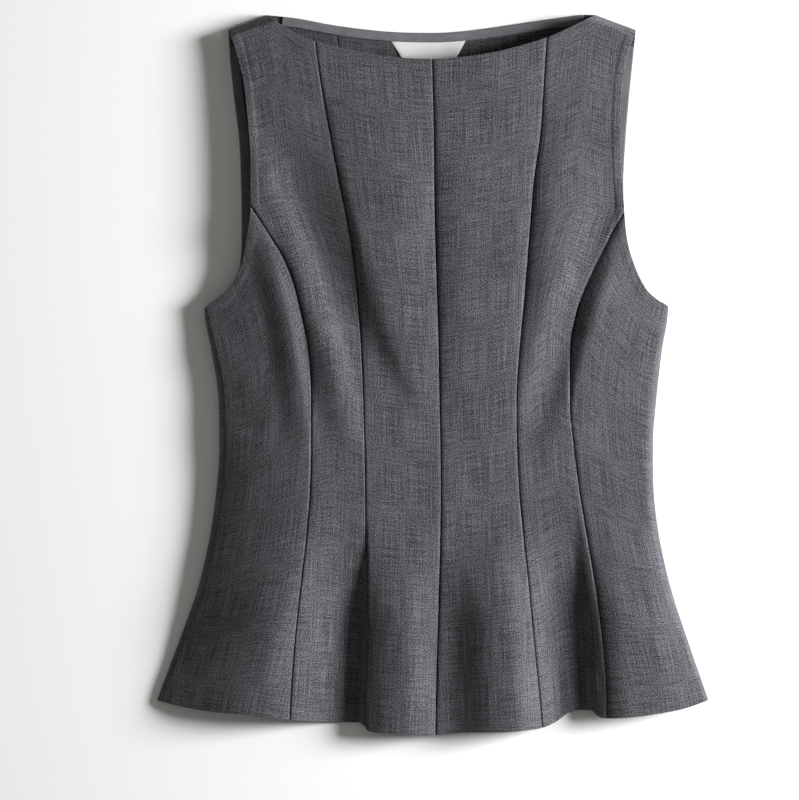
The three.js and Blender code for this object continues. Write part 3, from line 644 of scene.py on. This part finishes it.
def grain_of(points):
    """Cloth coordinates in millimetres, measured along the surface from the panel's middle line."""
    middle = points.shape[1] // 2
    across = np.linalg.norm(np.diff(points, axis=1), axis=-1)
    run = np.concatenate([np.zeros((len(points), 1)), across.cumsum(1)], 1)
    down = np.linalg.norm(np.diff(points[:, middle], axis=0), axis=-1)
    fall = np.concatenate([[0.0], down.cumsum()])
    return np.stack([run - run[:, middle:middle + 1], np.broadcast_to(-fall[:, None], run.shape)], -1)


def add_object(name, data):
    made = bpy.data.objects.new(name, data)
    bpy.context.scene.collection.objects.link(made)
    return made


def mesh_object(name, points, faces, material):
    mesh = bpy.data.meshes.new(name)
    mesh.from_pydata(points, [], faces)
    mesh.materials.append(material)
    return add_object(name, mesh)


def ring_faces(rings, around):
    """Faces between neighbouring rings of points, each ring closed on itself."""
    faces = []
    for low in range(0, (rings - 1) * around, around):
        for k in range(around):
            onward = (k + 1) % around
            faces.append((low + k, low + onward, low + around + onward, low + around + k))
    return faces


def smooth_object(name, points, faces, material):
    """Smoothly shaded object from points in millimetres in the tables' frame."""
    places = (points + [*CENTRE_SHIFT, 0]) * MM
    piece = mesh_object(name, places.tolist(), faces, material)
    piece.data.polygons.foreach_set("use_smooth", np.ones(len(faces), bool))
    return piece


def cloth_object(name, upper, lower, grain, material):
    """Closed shell between two grids of points given in millimetres in the tables' frame."""
    rows, columns = upper.shape[:2]
    grid = np.arange(rows * columns).reshape(rows, columns)
    top = np.stack([grid[:-1, :-1], grid[1:, :-1], grid[1:, 1:], grid[:-1, 1:]], -1).reshape(-1, 4)
    ring = np.concatenate([grid[:, 0], grid[-1, 1:], grid[-2::-1, -1], grid[0, -2:0:-1]])
    onwards = np.roll(ring, -1)
    rim = np.stack([onwards, ring, ring + grid.size, onwards + grid.size], -1)
    faces = np.concatenate([top, top[:, ::-1] + grid.size, rim])
    points = np.concatenate([upper.reshape(-1, 3), lower.reshape(-1, 3)])
    piece = smooth_object(name, points, faces.tolist(), material)
    layer = piece.data.uv_layers.new(name="grain")
    both = np.concatenate([grain.reshape(-1, 2)] * 2)
    layer.data.foreach_set("uv", both[faces.ravel()].astype(np.float32).ravel())
    return piece


# Where each panel lies in the weave, so that no two panels show the same streaks
GRAIN_SHIFTS = {
    "front_centre_left": (0, 0), "front_centre_right": (90, 37),
    "front_princess_left": (210, 11), "front_princess_right": (330, 59),
    "front_side_left": (450, 23), "front_side_right": (600, 71),
    "back_centre": (750, 5), "back_side_left": (900, 47), "back_side_right": (1050, 83),
}


def front_panel(name, place, u, v, material):
    at = place(u, v[:, None] + 0 * u)
    x, y = at[..., 0], at[..., 1]
    base = np.dstack([at, front_height(x, y)])
    return front_shell(name, base, 0 * x + 1, material)


def front_shell(name, base, share, material):
    """Shell on a surface of the front. share is how much of the fine form each point takes."""
    x, y = base[..., 0], base[..., 1]
    normals = grid_normals(base)
    rounding = edge_rounding(front_edge_distance(x, y))
    upper = base + normals * (share * front_relief(x, y))[..., None]
    lower = upper - normals * WALL
    upper = upper - normals * rounding[..., None]
    lower = lower + normals * rounding[..., None]
    return cloth_object(f"cloth_{name}", upper, lower, grain_of(base) + GRAIN_SHIFTS[name], material)


def between_seams(seams, names, tops, neck, hem):
    """Outline between two seams, and its width at each share of its length."""
    feet = [seam_foot(seams, name, hem) for name in names]
    ends = [float(follow(seams, "y", name, top)) for name, top in zip(names, tops)]
    left = side_line(seams, names[0], tops[0], feet[0]["y"], SEAM_GAP / 2)
    right = side_line(seams, names[1], tops[1], feet[1]["y"], -SEAM_GAP / 2)
    place = patch(left, right, cross_line(neck, *ends), cross_line(hem, feet[0]["x"], feet[1]["x"]))
    return place, lambda v: right(v)[:, 0] - left(v)[:, 0]


def front_centre(side, material):
    names = ("neckLeft", "centre") if side == "left" else ("centre", "neckRight")
    tops = [SEAM_TOP[name] for name in names]
    place, width_at = between_seams(FRONT_SEAMS, names, tops, FRONT_NECK, FRONT_HEM)
    v = shares(tops[0] - HEM_Y, ROW_STEP)
    return front_panel(f"front_centre_{side}", place, shares(width_at(v), COLUMN_STEP), v, material)


def front_princess(side, material):
    inwards, arm, neck = INWARDS[side], ARM_SEAM[side], NECK_SEAM[side]
    arm_foot, neck_foot = (seam_foot(FRONT_SEAMS, seam, FRONT_HEM) for seam in (arm, neck))
    seam_x = float(follow(FRONT_SEAMS, "y", neck, SEAM_TOP[neck]))
    outer = armhole_then_seam(side, arm, arm_foot["y"], inwards * SEAM_GAP / 2)
    inner = side_line(FRONT_SEAMS, neck, SEAM_TOP[neck], neck_foot["y"], -inwards * SEAM_GAP / 2)
    top = shoulder_then_neck(FRONT_NECK, side, seam_x)
    hem = cross_line(FRONT_HEM, arm_foot["x"], neck_foot["x"])
    length = TIP_Y - arm_foot["y"]
    v = shares(length, ROW_STEP, stops=[(TIP_Y - SEAM_TOP[arm]) / length])
    u = shares(np.abs(inner(v)[:, 0] - outer(v)[:, 0]), COLUMN_STEP, stops=[NECK_AT])
    place = mirrored(patch(outer, inner, top, hem), side)
    u = u if side == "left" else 1 - u[:, ::-1]
    return front_panel(f"front_princess_{side}", place, u, v, material)


def front_side(side, material):
    inwards, arm = INWARDS[side], ARM_SEAM[side]
    foot = seam_foot(FRONT_SEAMS, arm, FRONT_HEM)
    outer = side_line(FRONT_EDGES, side, UNDERARM_Y[side], HEM_CORNER_Y[side])
    inner = side_line(FRONT_SEAMS, arm, SEAM_TOP[arm], foot["y"], -inwards * SEAM_GAP / 2)

    def armhole(t):
        y = mix(UNDERARM_Y[side], SEAM_TOP[arm], t)
        return np.stack([follow(FRONT_EDGES, "y", side, y), y], -1)

    place = patch(outer, inner, armhole, cross_line(FRONT_HEM, HEM_CORNER_X[side], foot["x"]))
    v = shares(SEAM_TOP[arm] - foot["y"], ROW_STEP)
    edge = place(np.zeros_like(v), v)
    width = np.linalg.norm(place(np.ones_like(v), v) - edge, axis=-1)
    roll = (follow(CROWN_SECTIONS, "y", "roll", edge[:, 1]) / width)[:, None]
    turn = np.linspace(0, math.pi / 2, ROLL_COLUMNS + 1)[None, :-1]
    flat = 1 - shares(width, COLUMN_STEP)[:, ::-1]
    flat = flat[:, len(NEAR_EDGE) - 1:]
    flat = (flat - flat[:, :1]) / (1 - flat[:, :1])
    u = np.concatenate([roll * (1 - np.cos(turn)), roll + (1 - roll) * flat], 1)
    rise = np.concatenate([np.sin(turn) + 0 * roll, np.ones_like(flat)], 1)
    at = place(u, v[:, None] + 0 * u)
    height = LIP + (front_height(at[..., 0], at[..., 1]) - LIP) * rise
    base = np.dstack([at, height])
    if side == "right":
        base, rise = base[:, ::-1], rise[:, ::-1]
    return front_shell(f"front_side_{side}", base, rise, material)


def back_panel(name, place, u, v, material):
    at = place(u, v[:, None] + 0 * u)
    x, y = at[..., 0], at[..., 1]
    base = np.dstack([at, back_height(x, y)])
    rounding = edge_rounding(back_edge_distance(x, y))
    upper = base + np.dstack([0 * x, 0 * x, back_relief(x, y) - rounding])
    lower = base - grid_normals(base) * WALL + np.dstack([0 * x, 0 * x, BACK_LOWER_ROUNDING * rounding])
    lower[..., 2] = np.maximum(lower[..., 2], 0)
    return cloth_object(f"cloth_{name}", upper, lower, grain_of(base) + GRAIN_SHIFTS[name], material)


def back_centre(material):
    tops = [BACK_SEAM_TOP[side] for side in SIDES]
    place, width_at = between_seams(BACK_SEAMS, SIDES, tops, BACK_NECK, BACK_HEM)
    v = shares(tops[0] - seam_foot(BACK_SEAMS, "left", BACK_HEM)["y"], ROW_STEP)
    return back_panel("back_centre", place, shares(width_at(v), 2 * COLUMN_STEP), v, material)


def back_side(side, material):
    inwards = INWARDS[side]
    foot = seam_foot(BACK_SEAMS, side, BACK_HEM)
    seam_x = float(follow(BACK_SEAMS, "y", side, BACK_SEAM_TOP[side]))
    corner_x = float(follow(BACK_EDGES, "y", side, HEM_CORNER_Y[side]))
    outer = side_line(BACK_EDGES, side, TIP_Y, HEM_CORNER_Y[side])
    inner = side_line(BACK_SEAMS, side, BACK_SEAM_TOP[side], foot["y"], -inwards * SEAM_GAP / 2)
    top = shoulder_then_neck(BACK_NECK, side, seam_x)
    v = shares(TIP_Y - HEM_CORNER_Y[side], ROW_STEP)
    u = shares(np.abs(inner(v)[:, 0] - outer(v)[:, 0]), 2 * COLUMN_STEP, stops=[NECK_AT])
    place = mirrored(patch(outer, inner, top, cross_line(BACK_HEM, corner_x, foot["x"])), side)
    u = u if side == "left" else 1 - u[:, ::-1]
    return back_panel(f"back_side_{side}", place, u, v, material)


# Strips, label and stitches

STRIP_TUCK = 0.3                # how far in from the edge of the back a strip starts
STRIP_SHARES = np.array([0, 0.02, 0.06, 0.14, 0.3, 0.5, 0.7, 0.86, 0.94, 0.98, 1.0])
STRIP_ROUNDING = {"height": 0.35, "tightness": 6}       # of the long edges
STRIP_SLOW_WAVE = {"height": 0.12, "length": 9, "drift": 31}
STRIP_QUICK_WAVE = {"height": 0.05, "length": 3.7}
NECK_STRIP = {"from": -127, "to": 125, "places": 169, "stitchPlaces": 200}
ARMHOLE_STRIP = {"from": 274, "to": 84, "places": 127, "stitchPlaces": 150}

LABEL_TOP_X = (-36.4, 27.2)
LABEL_LOW_X = (-24.4, 16.8)
LABEL_LOW_Y = 261.0
LABEL_WIDTH = 63.6              # of its top
LABEL_LENGTH = 19.0
LABEL_TUCK = 1.2                # how far its top lies under the neck strip
LABEL_STEP = {"across": 1.5, "down": 1.0}
LABEL_SEAT = 1.62               # height of its top, under the strip
LABEL_RISE = {"height": 1.0, "speed": 1.3}
LABEL_END = {"fall": 0.25, "reach": 1.4}
LABEL_WAVE = {"height": 0.12, "length": 8}

STITCH = {"pitch": 2.6, "length": 1.7, "radius": 0.22, "rings": 5, "around": 8, "bluntness": 0.04}
STITCH_INSET = 1.2              # from the inner edge of the strip
STITCH_SHARE = 0.86             # share of the strip's width where its height is read
STITCH_LIFT = 0.05
STITCH_FREE = 2                 # left free at each end of a strip


def strip_shell(name, at, grain, wall, material):
    """Thin shell below the points of its upper face."""
    return cloth_object(name, at, at - grid_normals(at) * wall, grain, material)


def neck_place(x, below):
    """Place on the inside of the back, a distance below the back neckline."""
    lean = slope_of(BACK_NECK, "x", "y", x)
    size = np.hypot(1, lean)
    return x + below * lean / size, follow(BACK_NECK, "x", "y", x) - below / size


def armhole_place(side, y, inset):
    """Place on the inside of the back, a distance in from the back armhole."""
    inwards = INWARDS[side]
    lean = slope_of(BACK_EDGES, "y", side, y)
    size = np.hypot(1, lean)
    return follow(BACK_EDGES, "y", side, y) + inwards * inset / size, y - inwards * inset * lean / size


def strip_height(along, across):
    """Upper face of a strip: rounded at its long edges, a little wavy along its length."""
    tightness = STRIP_ROUNDING["tightness"]
    near_edge = np.clip(np.abs(2 * across - 1) * tightness - (tightness - 1), 0, 1)
    rounding = STRIP_ROUNDING["height"] * (1 - np.sqrt(1 - near_edge**2))
    slow, quick = STRIP_SLOW_WAVE, STRIP_QUICK_WAVE
    slow_wave = slow["height"] * np.sin(along / slow["length"] + np.sin(along / slow["drift"])) * across
    quick_wave = quick["height"] * np.sin(along / quick["length"]) * across**2
    return TAPE_TOP - rounding + (slow_wave + quick_wave)


def neck_facing(material):
    x = np.linspace(NECK_STRIP["from"], NECK_STRIP["to"], NECK_STRIP["places"])[None, :]
    across = STRIP_SHARES[:, None]
    at_x, at_y = neck_place(x, STRIP_TUCK + across * (TAPE_WIDTH - STRIP_TUCK))
    at = np.dstack([at_x, at_y, strip_height(x, across)])
    grain = np.dstack([x + 0 * across, -across * TAPE_WIDTH + 0 * x])
    return strip_shell("strip_neck_back", at, grain, TAPE_WALL, material)


def armhole_facing(side, material):
    y = np.linspace(ARMHOLE_STRIP["from"], ARMHOLE_STRIP["to"], ARMHOLE_STRIP["places"])[:, None]
    across = STRIP_SHARES[None, :]
    at_x, at_y = armhole_place(side, y, STRIP_TUCK + across * (TAPE_WIDTH - STRIP_TUCK))
    at = np.dstack([at_x, at_y, strip_height(y, across)])
    grain = np.dstack([-y + 0 * across, across * TAPE_WIDTH + 0 * y])
    if side == "right":
        at, grain = at[:, ::-1], grain[:, ::-1]
    return strip_shell(f"strip_armhole_{side}", at, grain, TAPE_WALL, material)


def neck_label(material):
    """White label with slanted ends: its top lies under the neck strip."""
    u = shares(LABEL_WIDTH, LABEL_STEP["across"])[None, :]
    v = shares(LABEL_LENGTH, LABEL_STEP["down"])[:, None]
    top_x = mix(*LABEL_TOP_X, u)
    x = mix(top_x, mix(*LABEL_LOW_X, u), v)
    top_y = follow(BACK_NECK, "x", "y", top_x) - TAPE_WIDTH + LABEL_TUCK
    y = mix(top_y, LABEL_LOW_Y, v)
    from_end = np.minimum(u, 1 - u) * LABEL_WIDTH
    rise = LABEL_RISE["height"] * ease(v * LABEL_RISE["speed"])
    fall = LABEL_END["fall"] * np.exp(-((from_end / LABEL_END["reach"]) ** 2))
    wave = LABEL_WAVE["height"] * np.sin(x / LABEL_WAVE["length"] + 1) * v
    at = np.dstack([x, y, LABEL_SEAT + rise - fall + wave])
    grain = np.dstack([x, y])
    return strip_shell("label_neck", at, grain, LABEL_WALL, material)


def stitch_row(name, path, material):
    """Row of stitches along a path of points in millimetres. Each stitch is a small long bead."""
    step = np.linalg.norm(np.diff(path, axis=0), axis=1)
    run = np.concatenate([[0.0], step.cumsum()])
    starts = np.arange(STITCH["pitch"] / 2, run[-1], STITCH["pitch"])
    centre = np.stack([np.interp(starts, run, path[:, k]) for k in range(3)], -1)
    ahead = np.stack([np.interp(starts + 0.5, run, path[:, k]) for k in range(3)], -1) - centre
    ahead = ahead / np.linalg.norm(ahead, axis=1, keepdims=True)
    aside = np.cross([0, 0, 1.0], ahead)
    up = np.cross(ahead, aside)
    rings, around = STITCH["rings"], STITCH["around"]
    lengthwise = np.linspace(-1, 1, rings)
    angle = np.arange(around) / around * 2 * math.pi
    girth = STITCH["radius"] * np.sqrt(1 + STITCH["bluntness"] - lengthwise**2)
    local = np.array([
        (0.5 * STITCH["length"] * along, size * math.cos(a), size * math.sin(a))
        for along, size in zip(lengthwise, girth) for a in angle
    ])
    caps = [tuple(reversed(range(around))), tuple(range((rings - 1) * around, rings * around))]
    bead = ring_faces(rings, around) + caps
    points, faces = [], []
    for index in range(len(starts)):
        points.append(centre[index] + local @ np.stack([ahead[index], aside[index], up[index]]))
        base = index * len(local)
        faces.extend(tuple(base + corner for corner in face) for face in bead)
    return smooth_object(name, np.concatenate(points), faces, material)


def strip_stitches(name, strip, place, material):
    """Stitches near the inner edge of a strip. place gives the point at a place along it and an inset."""
    free = math.copysign(STITCH_FREE, strip["to"] - strip["from"])
    along = np.linspace(strip["from"] + free, strip["to"] - free, strip["stitchPlaces"])
    at_x, at_y = place(along, TAPE_WIDTH - STITCH_INSET)
    path = np.stack([at_x, at_y, strip_height(along, STITCH_SHARE) + STITCH_LIFT], -1)
    return stitch_row(name, path, material)


def neck_stitches(material):
    return strip_stitches("stitches_neck_back", NECK_STRIP, neck_place, material)


def armhole_stitches(side, material):
    place = partial(armhole_place, side)
    return strip_stitches(f"stitches_armhole_{side}", ARMHOLE_STRIP, place, material)


# Materials


def new_material(name):
    material = bpy.data.materials.new(name)
    material.use_nodes = True
    tree = material.node_tree
    return material, tree, tree.nodes["Principled BSDF"]


def add_node(tree, kind, links=(), **settings):
    """Adds a node, sets its properties, and links or sets its inputs by position."""
    node = tree.nodes.new(kind)
    for key, value in settings.items():
        setattr(node, key, value)
    for position, source in links:
        if isinstance(source, bpy.types.NodeSocket):
            tree.links.new(source, node.inputs[position])
        else:
            node.inputs[position].default_value = source
    return node


def new_fabric(name):
    """A new material, its nodes, its shader, and the cloth coordinates in millimetres."""
    material, tree, shader = new_material(name)
    return material, tree, shader, add_node(tree, "ShaderNodeUVMap", uv_map="grain").outputs["UV"]


def set_inputs(node, settings):
    for name, value in settings.items():
        node.inputs[name].default_value = value


def finish_surface(tree, shader, colour, settings):
    tree.links.new(colour, shader.inputs["Base Color"])
    set_inputs(shader, settings)


def add_relief(tree, shader, height, strength, distance):
    """Fine relief of the threads. The distance is in metres."""
    bump = add_node(tree, "ShaderNodeBump")
    set_inputs(bump, {"Strength": strength, "Distance": distance})
    tree.links.new(height, bump.inputs["Height"])
    tree.links.new(bump.outputs["Normal"], shader.inputs["Normal"])


FIBRE_ROUGHNESS = 0.6           # how strongly the finest parts of a noise show


def stretched_noise(tree, cloth, size, detail):
    """Noise whose cells measure size millimetres along and across the cloth."""
    scaled = add_node(tree, "ShaderNodeVectorMath", [(0, cloth), (1, (1 / size[0], 1 / size[1], 1))],
                      operation="MULTIPLY")
    noise = add_node(tree, "ShaderNodeTexNoise", [(0, scaled.outputs[0])], noise_dimensions="2D")
    set_inputs(noise, {"Scale": 1, "Detail": detail, "Roughness": FIBRE_ROUGHNESS})
    return noise.outputs["Fac"]


def math_node(tree, operation, a, b=0.0, c=0.0):
    return add_node(tree, "ShaderNodeMath", [(0, a), (1, b), (2, c)], operation=operation).outputs[0]


def weighted_sum(tree, parts):
    """Sum of value sockets, each times its weight."""
    total = 0.0
    for socket, weight in parts:
        total = math_node(tree, "MULTIPLY_ADD", socket, weight, total)
    return total


def weave_height(tree, cloth, pitch):
    """Height of a plain weave: two crossing waves whose product goes over and under."""
    split = add_node(tree, "ShaderNodeSeparateXYZ", [(0, cloth)])
    waves = [
        math_node(tree, "SINE", math_node(tree, "MULTIPLY", split.outputs[axis], math.pi / pitch))
        for axis in (0, 1)
    ]
    return math_node(tree, "MULTIPLY", waves[0], waves[1])


def ramp(tree, value, stops):
    node = add_node(tree, "ShaderNodeValToRGB", [(0, value)])
    elements = node.color_ramp.elements
    for index, (place, colour) in enumerate(stops):
        element = elements[index] if index < 2 else elements.new(place)
        element.position = place
        element.color = (*colour, 1)
    return node.outputs["Color"]


# Places and colours of the fibres on the ramp. The middle tone comes last, as it is added to the two ends.
FIBRE_TONES = [
    (0.42, (0.0095, 0.0091, 0.0107)),
    (0.64, (0.158, 0.155, 0.176)),
    (0.525, (0.062, 0.0606, 0.0688)),
]
INSIDE_PAINTED_SHADE = 0.68             # painted shade: the back's inside, which lies in shade, is drawn this much darker than the cloth


def suiting(name, shade):
    """Melange plain weave: dark and light fibres in thin streaks along both threads."""
    material, tree, shader, cloth = new_fabric(name)
    fleck = stretched_noise(tree, cloth, (0.9, 1.0), 1.5)
    slub_down = stretched_noise(tree, cloth, (0.75, 48), 3)
    slub_across = stretched_noise(tree, cloth, (24, 0.85), 3)
    cloud = stretched_noise(tree, cloth, (38, 52), 2)
    mottle = weighted_sum(tree, [(fleck, 0.5), (slub_down, 0.27), (slub_across, 0.23), (cloud, 0.05)])
    # the fibre colours times shade: below 1 this paints shade into a darker copy of the cloth
    stops = [(place, tuple(shade * part for part in tone)) for place, tone in FIBRE_TONES]
    settings = {"Roughness": 0.92, "Specular IOR Level": 0.25, "Sheen Weight": 0.08, "Sheen Roughness": 0.5}
    finish_surface(tree, shader, ramp(tree, mottle, stops), settings)
    height = weighted_sum(tree, [(weave_height(tree, cloth, 0.62), 0.35), (fleck, 0.5), (slub_down, 0.4)])
    add_relief(tree, shader, height, 0.35, 0.00012)
    return material


def tape_cloth():
    """Smooth woven strip with fine ribs along its length."""
    material, tree, shader, cloth = new_fabric("tape")
    fibre = stretched_noise(tree, cloth, (6, 0.5), 2)
    cloud = stretched_noise(tree, cloth, (20, 8), 2)
    tone = weighted_sum(tree, [(fibre, 0.6), (cloud, 0.4)])
    colour = ramp(tree, tone, [(0.3, (0.085, 0.081, 0.09)), (0.7, (0.165, 0.158, 0.176))])
    settings = {"Roughness": 0.8, "Specular IOR Level": 0.3, "Sheen Weight": 0.1}
    finish_surface(tree, shader, colour, settings)
    height = weighted_sum(tree, [(weave_height(tree, cloth, 0.5), 0.5), (fibre, 0.5)])
    add_relief(tree, shader, height, 0.3, 0.0001)
    return material


def label_satin():
    """White satin, close ribs across, bare."""
    material, tree, shader, cloth = new_fabric("label")
    rib = stretched_noise(tree, cloth, (7, 0.35), 2)
    cloud = stretched_noise(tree, cloth, (14, 9), 2)
    tone = weighted_sum(tree, [(rib, 0.5), (cloud, 0.5)])
    colour = ramp(tree, tone, [(0.3, (0.6, 0.597, 0.588)), (0.7, (0.7, 0.7, 0.692))])
    finish_surface(tree, shader, colour, {"Roughness": 0.5, "Sheen Weight": 0.15})
    add_relief(tree, shader, rib, 0.25, 0.00008)
    return material


THREAD_NOISE = 1500             # cells to the metre


def thread():
    """Sewing thread, a little lighter than the strips."""
    material, tree, shader = new_material("thread")
    coordinates = add_node(tree, "ShaderNodeTexCoord").outputs["Object"]
    scaled = add_node(tree, "ShaderNodeVectorMath", [(0, coordinates), (1, [THREAD_NOISE] * 3)],
                      operation="MULTIPLY")
    noise = add_node(tree, "ShaderNodeTexNoise", [(0, scaled.outputs[0])])
    colour = ramp(tree, noise.outputs["Fac"], [(0.3, (0.1, 0.097, 0.106)), (0.7, (0.2, 0.195, 0.21))])
    finish_surface(tree, shader, colour, {"Roughness": 0.7})
    return material


FAR_FLOOR = {"from": 0.9, "to": 5.0, "glow": 0.72}      # from and to are metres from the middle


def paper_floor():
    """Pale paper, which glows a little far out, where the light doesn't reach."""
    material, tree, shader = new_material("floor")
    coordinates = add_node(tree, "ShaderNodeTexCoord").outputs["Object"]
    noise = add_node(tree, "ShaderNodeTexNoise", [(0, coordinates)])
    set_inputs(noise, {"Scale": 3})
    colour = ramp(tree, noise.outputs["Fac"], [(0.3, (0.895, 0.895, 0.89)), (0.7, (0.905, 0.905, 0.9))])
    settings = {"Roughness": 1, "Specular IOR Level": 0, "Emission Color": (1, 1, 0.99, 1)}
    finish_surface(tree, shader, colour, settings)
    away = add_node(tree, "ShaderNodeVectorMath", [(0, coordinates)], operation="LENGTH").outputs["Value"]
    reach = [(0, away), (1, FAR_FLOOR["from"]), (2, FAR_FLOOR["to"]), (3, 0.0), (4, FAR_FLOOR["glow"])]
    far = add_node(tree, "ShaderNodeMapRange", reach, interpolation_type="SMOOTHSTEP").outputs[0]
    tree.links.new(far, shader.inputs["Emission Strength"])
    return material


# Stage, light and camera

FLOOR_SIZE = 60.0
FLOOR_DROP = 0.0003
BACKDROP_RADIUS = 0.48 * FLOOR_SIZE
BACKDROP_SIDES = 48
BACKDROP_FOOT = -0.5
LIGHT_FROM = math.radians(6)        # turned from +X towards +Y
LIGHT_AWAY = 2.5                    # metres along the floor
LIGHT_UP = 1.02
LIGHT_WIDTH = 1.0                   # how wide the light is, which softens its shadows
LIGHT_POWER = 208.0
FILL = (0.19, 0.19, 0.181)
PHOTO_SIZE = (799, 800)
PIXELS_PER_MM = 1.2
TABLE_ORIGIN_PIXEL = (434, 375)     # where the tables' x = 0, y = 0 is in the photo
CAMERA_HEIGHT = 6.0
MIDDLE_HEIGHT = 0.012               # the height of the cloth that the photo's scale holds for
SENSOR = 36.0
VIEW_REACH = 100                    # metres


def make_stage():
    half = FLOOR_SIZE / 2
    corners = [(-half, -half, -FLOOR_DROP), (half, -half, -FLOOR_DROP),
               (half, half, -FLOOR_DROP), (-half, half, -FLOOR_DROP)]
    floor = mesh_object("floor", corners, [(0, 1, 2, 3)], paper_floor())
    return floor


def pale_haze():
    """Even pale tone of the backdrop, which gives off no light of its own to the scene."""
    material, _, shader = new_material("backdrop")
    set_inputs(shader, {"Base Color": (0, 0, 0, 1), "Specular IOR Level": 0,
                        "Emission Color": (0.93, 0.93, 0.925, 1), "Emission Strength": 1})
    return material


def make_backdrop():
    """Wide round wall and ceiling far behind, seen by the camera only."""
    angles = [step / BACKDROP_SIDES * 2 * math.pi for step in range(BACKDROP_SIDES)]
    radius = BACKDROP_RADIUS
    rings = [(radius, BACKDROP_FOOT), (radius, 0.6 * radius), (0.5 * radius, 0.9 * radius), (0.01, radius)]
    points = [(size * math.cos(a), size * math.sin(a), z) for size, z in rings for a in angles]
    backdrop = mesh_object("backdrop", points, ring_faces(len(rings), BACKDROP_SIDES), pale_haze())
    backdrop.visible_diffuse = False
    backdrop.visible_glossy = False
    backdrop.visible_transmission = False
    backdrop.visible_shadow = False


def make_light():
    data = bpy.data.lights.new("key", "AREA")
    data.shape = "DISK"
    data.size = LIGHT_WIDTH
    data.energy = LIGHT_POWER
    light = add_object("key", data)
    light.location = (LIGHT_AWAY * math.cos(LIGHT_FROM), LIGHT_AWAY * math.sin(LIGHT_FROM), LIGHT_UP)
    light.rotation_euler = (0, math.atan2(LIGHT_AWAY, LIGHT_UP), LIGHT_FROM)
    world = bpy.data.worlds.new("studio")
    world.use_nodes = True
    set_inputs(world.node_tree.nodes["Background"], {"Color": (*FILL, 1), "Strength": 1})
    bpy.context.scene.world = world
    bpy.context.scene.view_settings.view_transform = "Standard"


def make_camera():
    data = bpy.data.cameras.new("camera")
    data.sensor_width = SENSOR
    view_height = PHOTO_SIZE[1] / PIXELS_PER_MM * MM
    data.lens = SENSOR * (CAMERA_HEIGHT - MIDDLE_HEIGHT) / view_height
    data.clip_end = VIEW_REACH
    camera = add_object("camera", data)
    x = (PHOTO_SIZE[0] / 2 - TABLE_ORIGIN_PIXEL[0]) / PIXELS_PER_MM + CENTRE_SHIFT[0]
    y = (TABLE_ORIGIN_PIXEL[1] - PHOTO_SIZE[1] / 2) / PIXELS_PER_MM + CENTRE_SHIFT[1]
    camera.location = (x * MM, y * MM, CAMERA_HEIGHT)
    bpy.context.scene.camera = camera


def settle(piece, node):
    """Places a finished piece in the frame: attaches it to the root body and hides the solid of its node.
    """
    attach(piece, "root")
    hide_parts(node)


def settle_stitches(piece):
    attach(piece, "root")


floor = make_stage()
make_backdrop()
make_light()
make_camera()

cloth = suiting("suiting", 1.0)
# painted shade: a darker copy of the cloth for the back panels, whose inside lies in shade
inside = suiting("suiting_painted_shade", INSIDE_PAINTED_SHADE)
tape = tape_cloth()
sewing = thread()
for side in SIDES:
    back = f"back_side_{side}"
    settle(back_side(side, inside), back)
    settle(front_centre(side, cloth), f"front_centre_{side}")
    settle(front_princess(side, cloth), f"front_princess_{side}")
    settle(front_side(side, cloth), f"front_side_{side}")
    settle(armhole_facing(side, tape), f"armhole_facing_{side}")
    settle_stitches(armhole_stitches(side, sewing))
settle(back_centre(inside), "back_centre")
settle(neck_facing(tape), "neck_facing_back")
settle(neck_label(label_satin()), "neck_label")
settle_stitches(neck_stitches(sewing))
